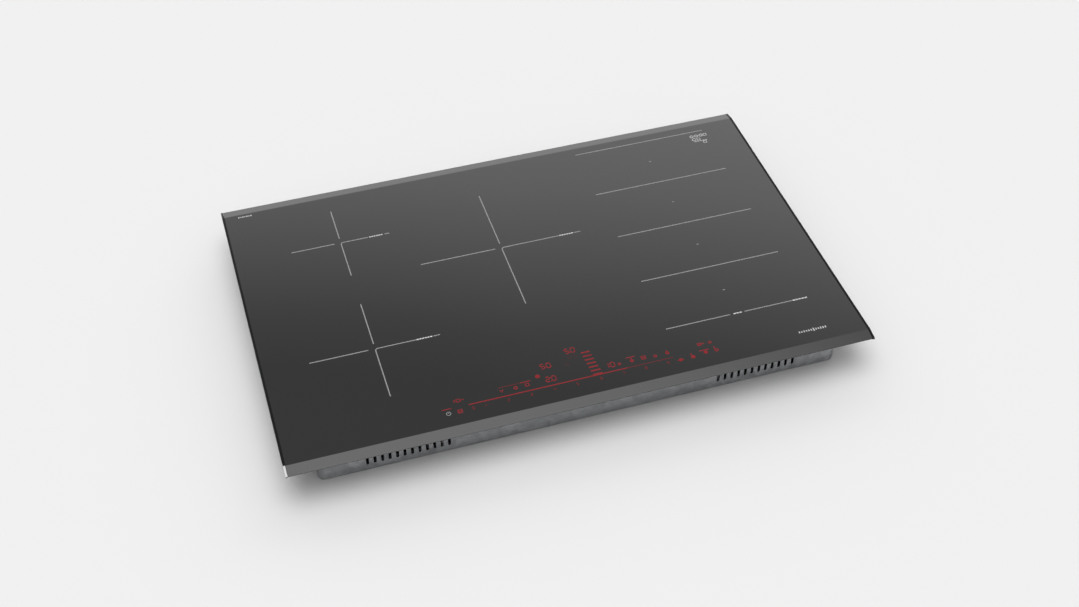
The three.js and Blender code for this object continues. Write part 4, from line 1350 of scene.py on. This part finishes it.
def make_impeller(hand, x, material):
    reach, low, high, edge = 36 * MM, 6 * MM, 28 * MM, 0.3 * MM
    hub = lathe([
        (2.8 * MM, low + 3 * MM), (11.4 * MM, low + 3 * MM), (12 * MM, low + 3.6 * MM),
        (12 * MM, high - 1.4 * MM), (reach - edge, high - 1.4 * MM), (reach, high - 1.1 * MM),
        (reach, high - edge), (reach - edge, high), (2.8 * MM, high), (2.8 * MM, low + 3 * MM)], steps=48)
    rim = lathe([
        (33.7 * MM, low), (reach - 0.2 * MM, low), (reach, low + 0.2 * MM), (reach, low + 1.6 * MM),
        (33.7 * MM, low + 1.6 * MM), (33.7 * MM, low)], steps=48)
    outer, inner = [], []
    for i in range(6):
        t = i / 5
        radius, lean, across = (25.6 + 9.9 * t) * MM, math.radians(12 * t * t - 4), math.radians(0.9)
        outer.append((radius * math.cos(lean + across), radius * math.sin(lean + across)))
        inner.append((radius * math.cos(lean - across), radius * math.sin(lean - across)))
    blade = to_mesh(prism(outer + inner[::-1], low + 0.6 * MM, high - 0.6 * MM, along="Z"), "blade")
    centre = (x, BLOWER_Y, 0)
    parts = [to_mesh(move(shape, Matrix.Translation(centre)), "part") for shape in (hub, rim)]
    parts.append(around("blades", blade, 30, centre, material))
    together(
        f"drum_impeller_{hand}", parts, material, f"blower_rotor_{hand}",
        f"blower_impeller_{hand}")


def make_choke(hand, wire, core_material):
    low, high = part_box(f"filter_choke_{hand}")
    centre = (low + high) / 2
    inner, outer, half, cut = 12.2 * MM, 18.8 * MM, 3.8 * MM, 0.6 * MM
    core = lathe([
        (inner, cut - half), (inner + cut, -half), (outer - cut, -half), (outer, cut - half),
        (outer, half - cut), (outer - cut, half), (inner + cut, half), (inner, half - cut),
        (inner, cut - half)], steps=36)
    mesh = to_mesh(move(core, Matrix.Translation(centre)), "core")
    add_piece(f"choke_core_{hand}", mesh, core_material, "housing")
    around_core = rounded_loop(4.6 * MM, 4.7 * MM, 1.6 * MM, 0, steps=3)
    turn = [((inner + outer) / 2 + x, 0, z) for x, z, _ in around_core]
    loop = wires("turn", [turn], 0.85 * MM, wire, sides=6, closed=True)
    mesh = around("turns", loop, 28, centre, wire)
    add_piece(f"choke_winding_{hand}", mesh, None, "housing", f"filter_choke_{hand}")


BOARD_TOP = 8.6 * MM


def small_parts(name, area, avoid, material):
    """Chip parts at seeded places on a board, on a 2.5 mm grid and clear of taller things. Sizes in mm."""
    seed, count, grid = 11, 90, 2.5
    dice = random.Random(seed)
    x0, x1, y0, y1 = area
    spots = []
    while len(spots) < count:
        x, y = dice.uniform(x0, x1), dice.uniform(y0, y1)
        if not any(a <= x <= b and c <= y <= d for a, b, c, d in avoid):
            spots.append((round(x / grid) * grid * MM, round(y / grid) * grid * MM, BOARD_TOP))
    chip = bar(2 * MM, 1.2 * MM, 0.01 * MM, 0.7 * MM)
    scatter(name, chip, sorted(set(spots)), material, seed, spin=0.0)


def make_modules():
    grey = moulded("grey_moulded_plastic", (0.06, 0.06, 0.062), (0.085, 0.085, 0.087))
    mask, fin = board("power_board", BOARD_TOP), aluminium("extruded_aluminium", (1, 0.05, 1))
    wire, core = litz(), moulded("coated_ring_core", (0.02, 0.1, 0.05), (0.03, 0.14, 0.07), 0.4)
    can = mottled("boxed_film_capacitor", (0.5, 0.35, 0.06), (0.6, 0.43, 0.09), (30,), Roughness=0.45)
    chip = moulded("chip_parts", (0.03, 0.028, 0.026), (0.16, 0.14, 0.11), 0.5, 3000)
    for side, hand in ((-1, "left"), (1, "right")):
        for node, name, material, slot, width, segments in (
                ("inverter_board", "power_board", mask, "circuit_board", 0.15, 1),
                ("heatsink", "finned_heatsink", fin, "aluminium", 0.2, 1),
                ("blower_housing", "blower_scroll", grey, "grey_plastic", 0.25, 2),
                ("film_capacitor", "boxed_capacitor", can, "capacitor", 1.2, 3)):
            eased_copy(f"{node}_{hand}", f"{name}_{hand}", material, width * MM, segments)
        make_impeller(hand, side * MODULE_X, black_plastic)
        make_choke(hand, wire, core)
        x = side * MODULE_X / MM
        heatsink, choke = (x - 46, x + 46, -100, 76), (x - 26, x + 76, -148, -100)
        small_parts(f"chip_parts_{hand}", (x - 75, x + 75, -146, 88), (heatsink, choke), chip)
    filter_mask = board("filter_board", BOARD_TOP)
    eased_copy("mains_filter_board", "input_filter_board", filter_mask, 0.15 * MM, 1)


make_modules()


# ---- Control panel ---------------------------------------------------------------------------------------
# A moulded carrier presses the touch board against the glass. The board has a pad for each key and a light
# guide over its figure lamps, and a flat ribbon cable joins it to the left module.

def ribbon():
    material, point = finish("flat_ribbon_cable", Roughness=0.5)
    strand = ((axis(point, "X") * 787).then("FRACT") - 0.5).then("ABSOLUTE")
    coat(
        point,
        Base_Color=mixed(strand * 2, (0.34, 0.34, 0.34), (0.52, 0.52, 0.52)),
        Normal=bump(strand, -0.6, 0.0004),
    )
    return material


def make_panel():
    white = moulded("white_carrier_plastic", (0.5, 0.5, 0.49), (0.6, 0.6, 0.59))
    touch = board("touch_board", 46.1 * MM)
    guide = mottled(
        "diffusing_light_guide", (0.66, 0.66, 0.64), (0.78, 0.78, 0.76), (400,), Roughness=0.35,
        Transmission_Weight=0.25, IOR=1.49)
    eased_copy("control_panel_carrier", "touch_panel_carrier", white, 0.3 * MM)
    eased_copy("control_panel_board", "touch_panel_board", touch, 0.15 * MM, 1)
    eased_copy("display_light_guide", "figure_light_guide", guide, 0.2 * MM)
    eased_copy("ribbon_cable", "flat_ribbon", ribbon(), 0.1 * MM, 1)


def make_wiring():
    """Mains wires from the terminal block to the filter board, and from there to the two modules."""
    colours = {"brown": (0.12, 0.045, 0.02), "blue": (0.02, 0.06, 0.3), "earth_green": (0.1, 0.28, 0.03)}
    for i, (label, colour) in enumerate(colours.items()):
        worn = tuple(c * 0.75 for c in colour)
        material = moulded(f"{label}_insulation", worn, colour, 0.4, 600)
        x, y, high, low = 58 + 8 * i, 88 - 4 * i, 14, 10
        runs = [([(x, 199, high), (x, 193, high), (x - 4, 187, high), (x - 4, 180, low)], 4)]
        for side in (-1, 1):
            start = 20 + side * (20 + 4 * i)
            run = [(start, 100, low), (start, y, 5.5), (side * 150, y, 5.5), (side * 172, y, 9.6)]
            runs.append((run, 5))
        paths = [rounded_path([Vector(point) * MM for point in run], turn * MM) for run, turn in runs]
        mesh = wires(f"{label}_wires", paths, 1.3 * MM, material, sides=10)
        add_piece(f"mains_wires_{label}", mesh, None, "housing")


make_panel()
make_wiring()
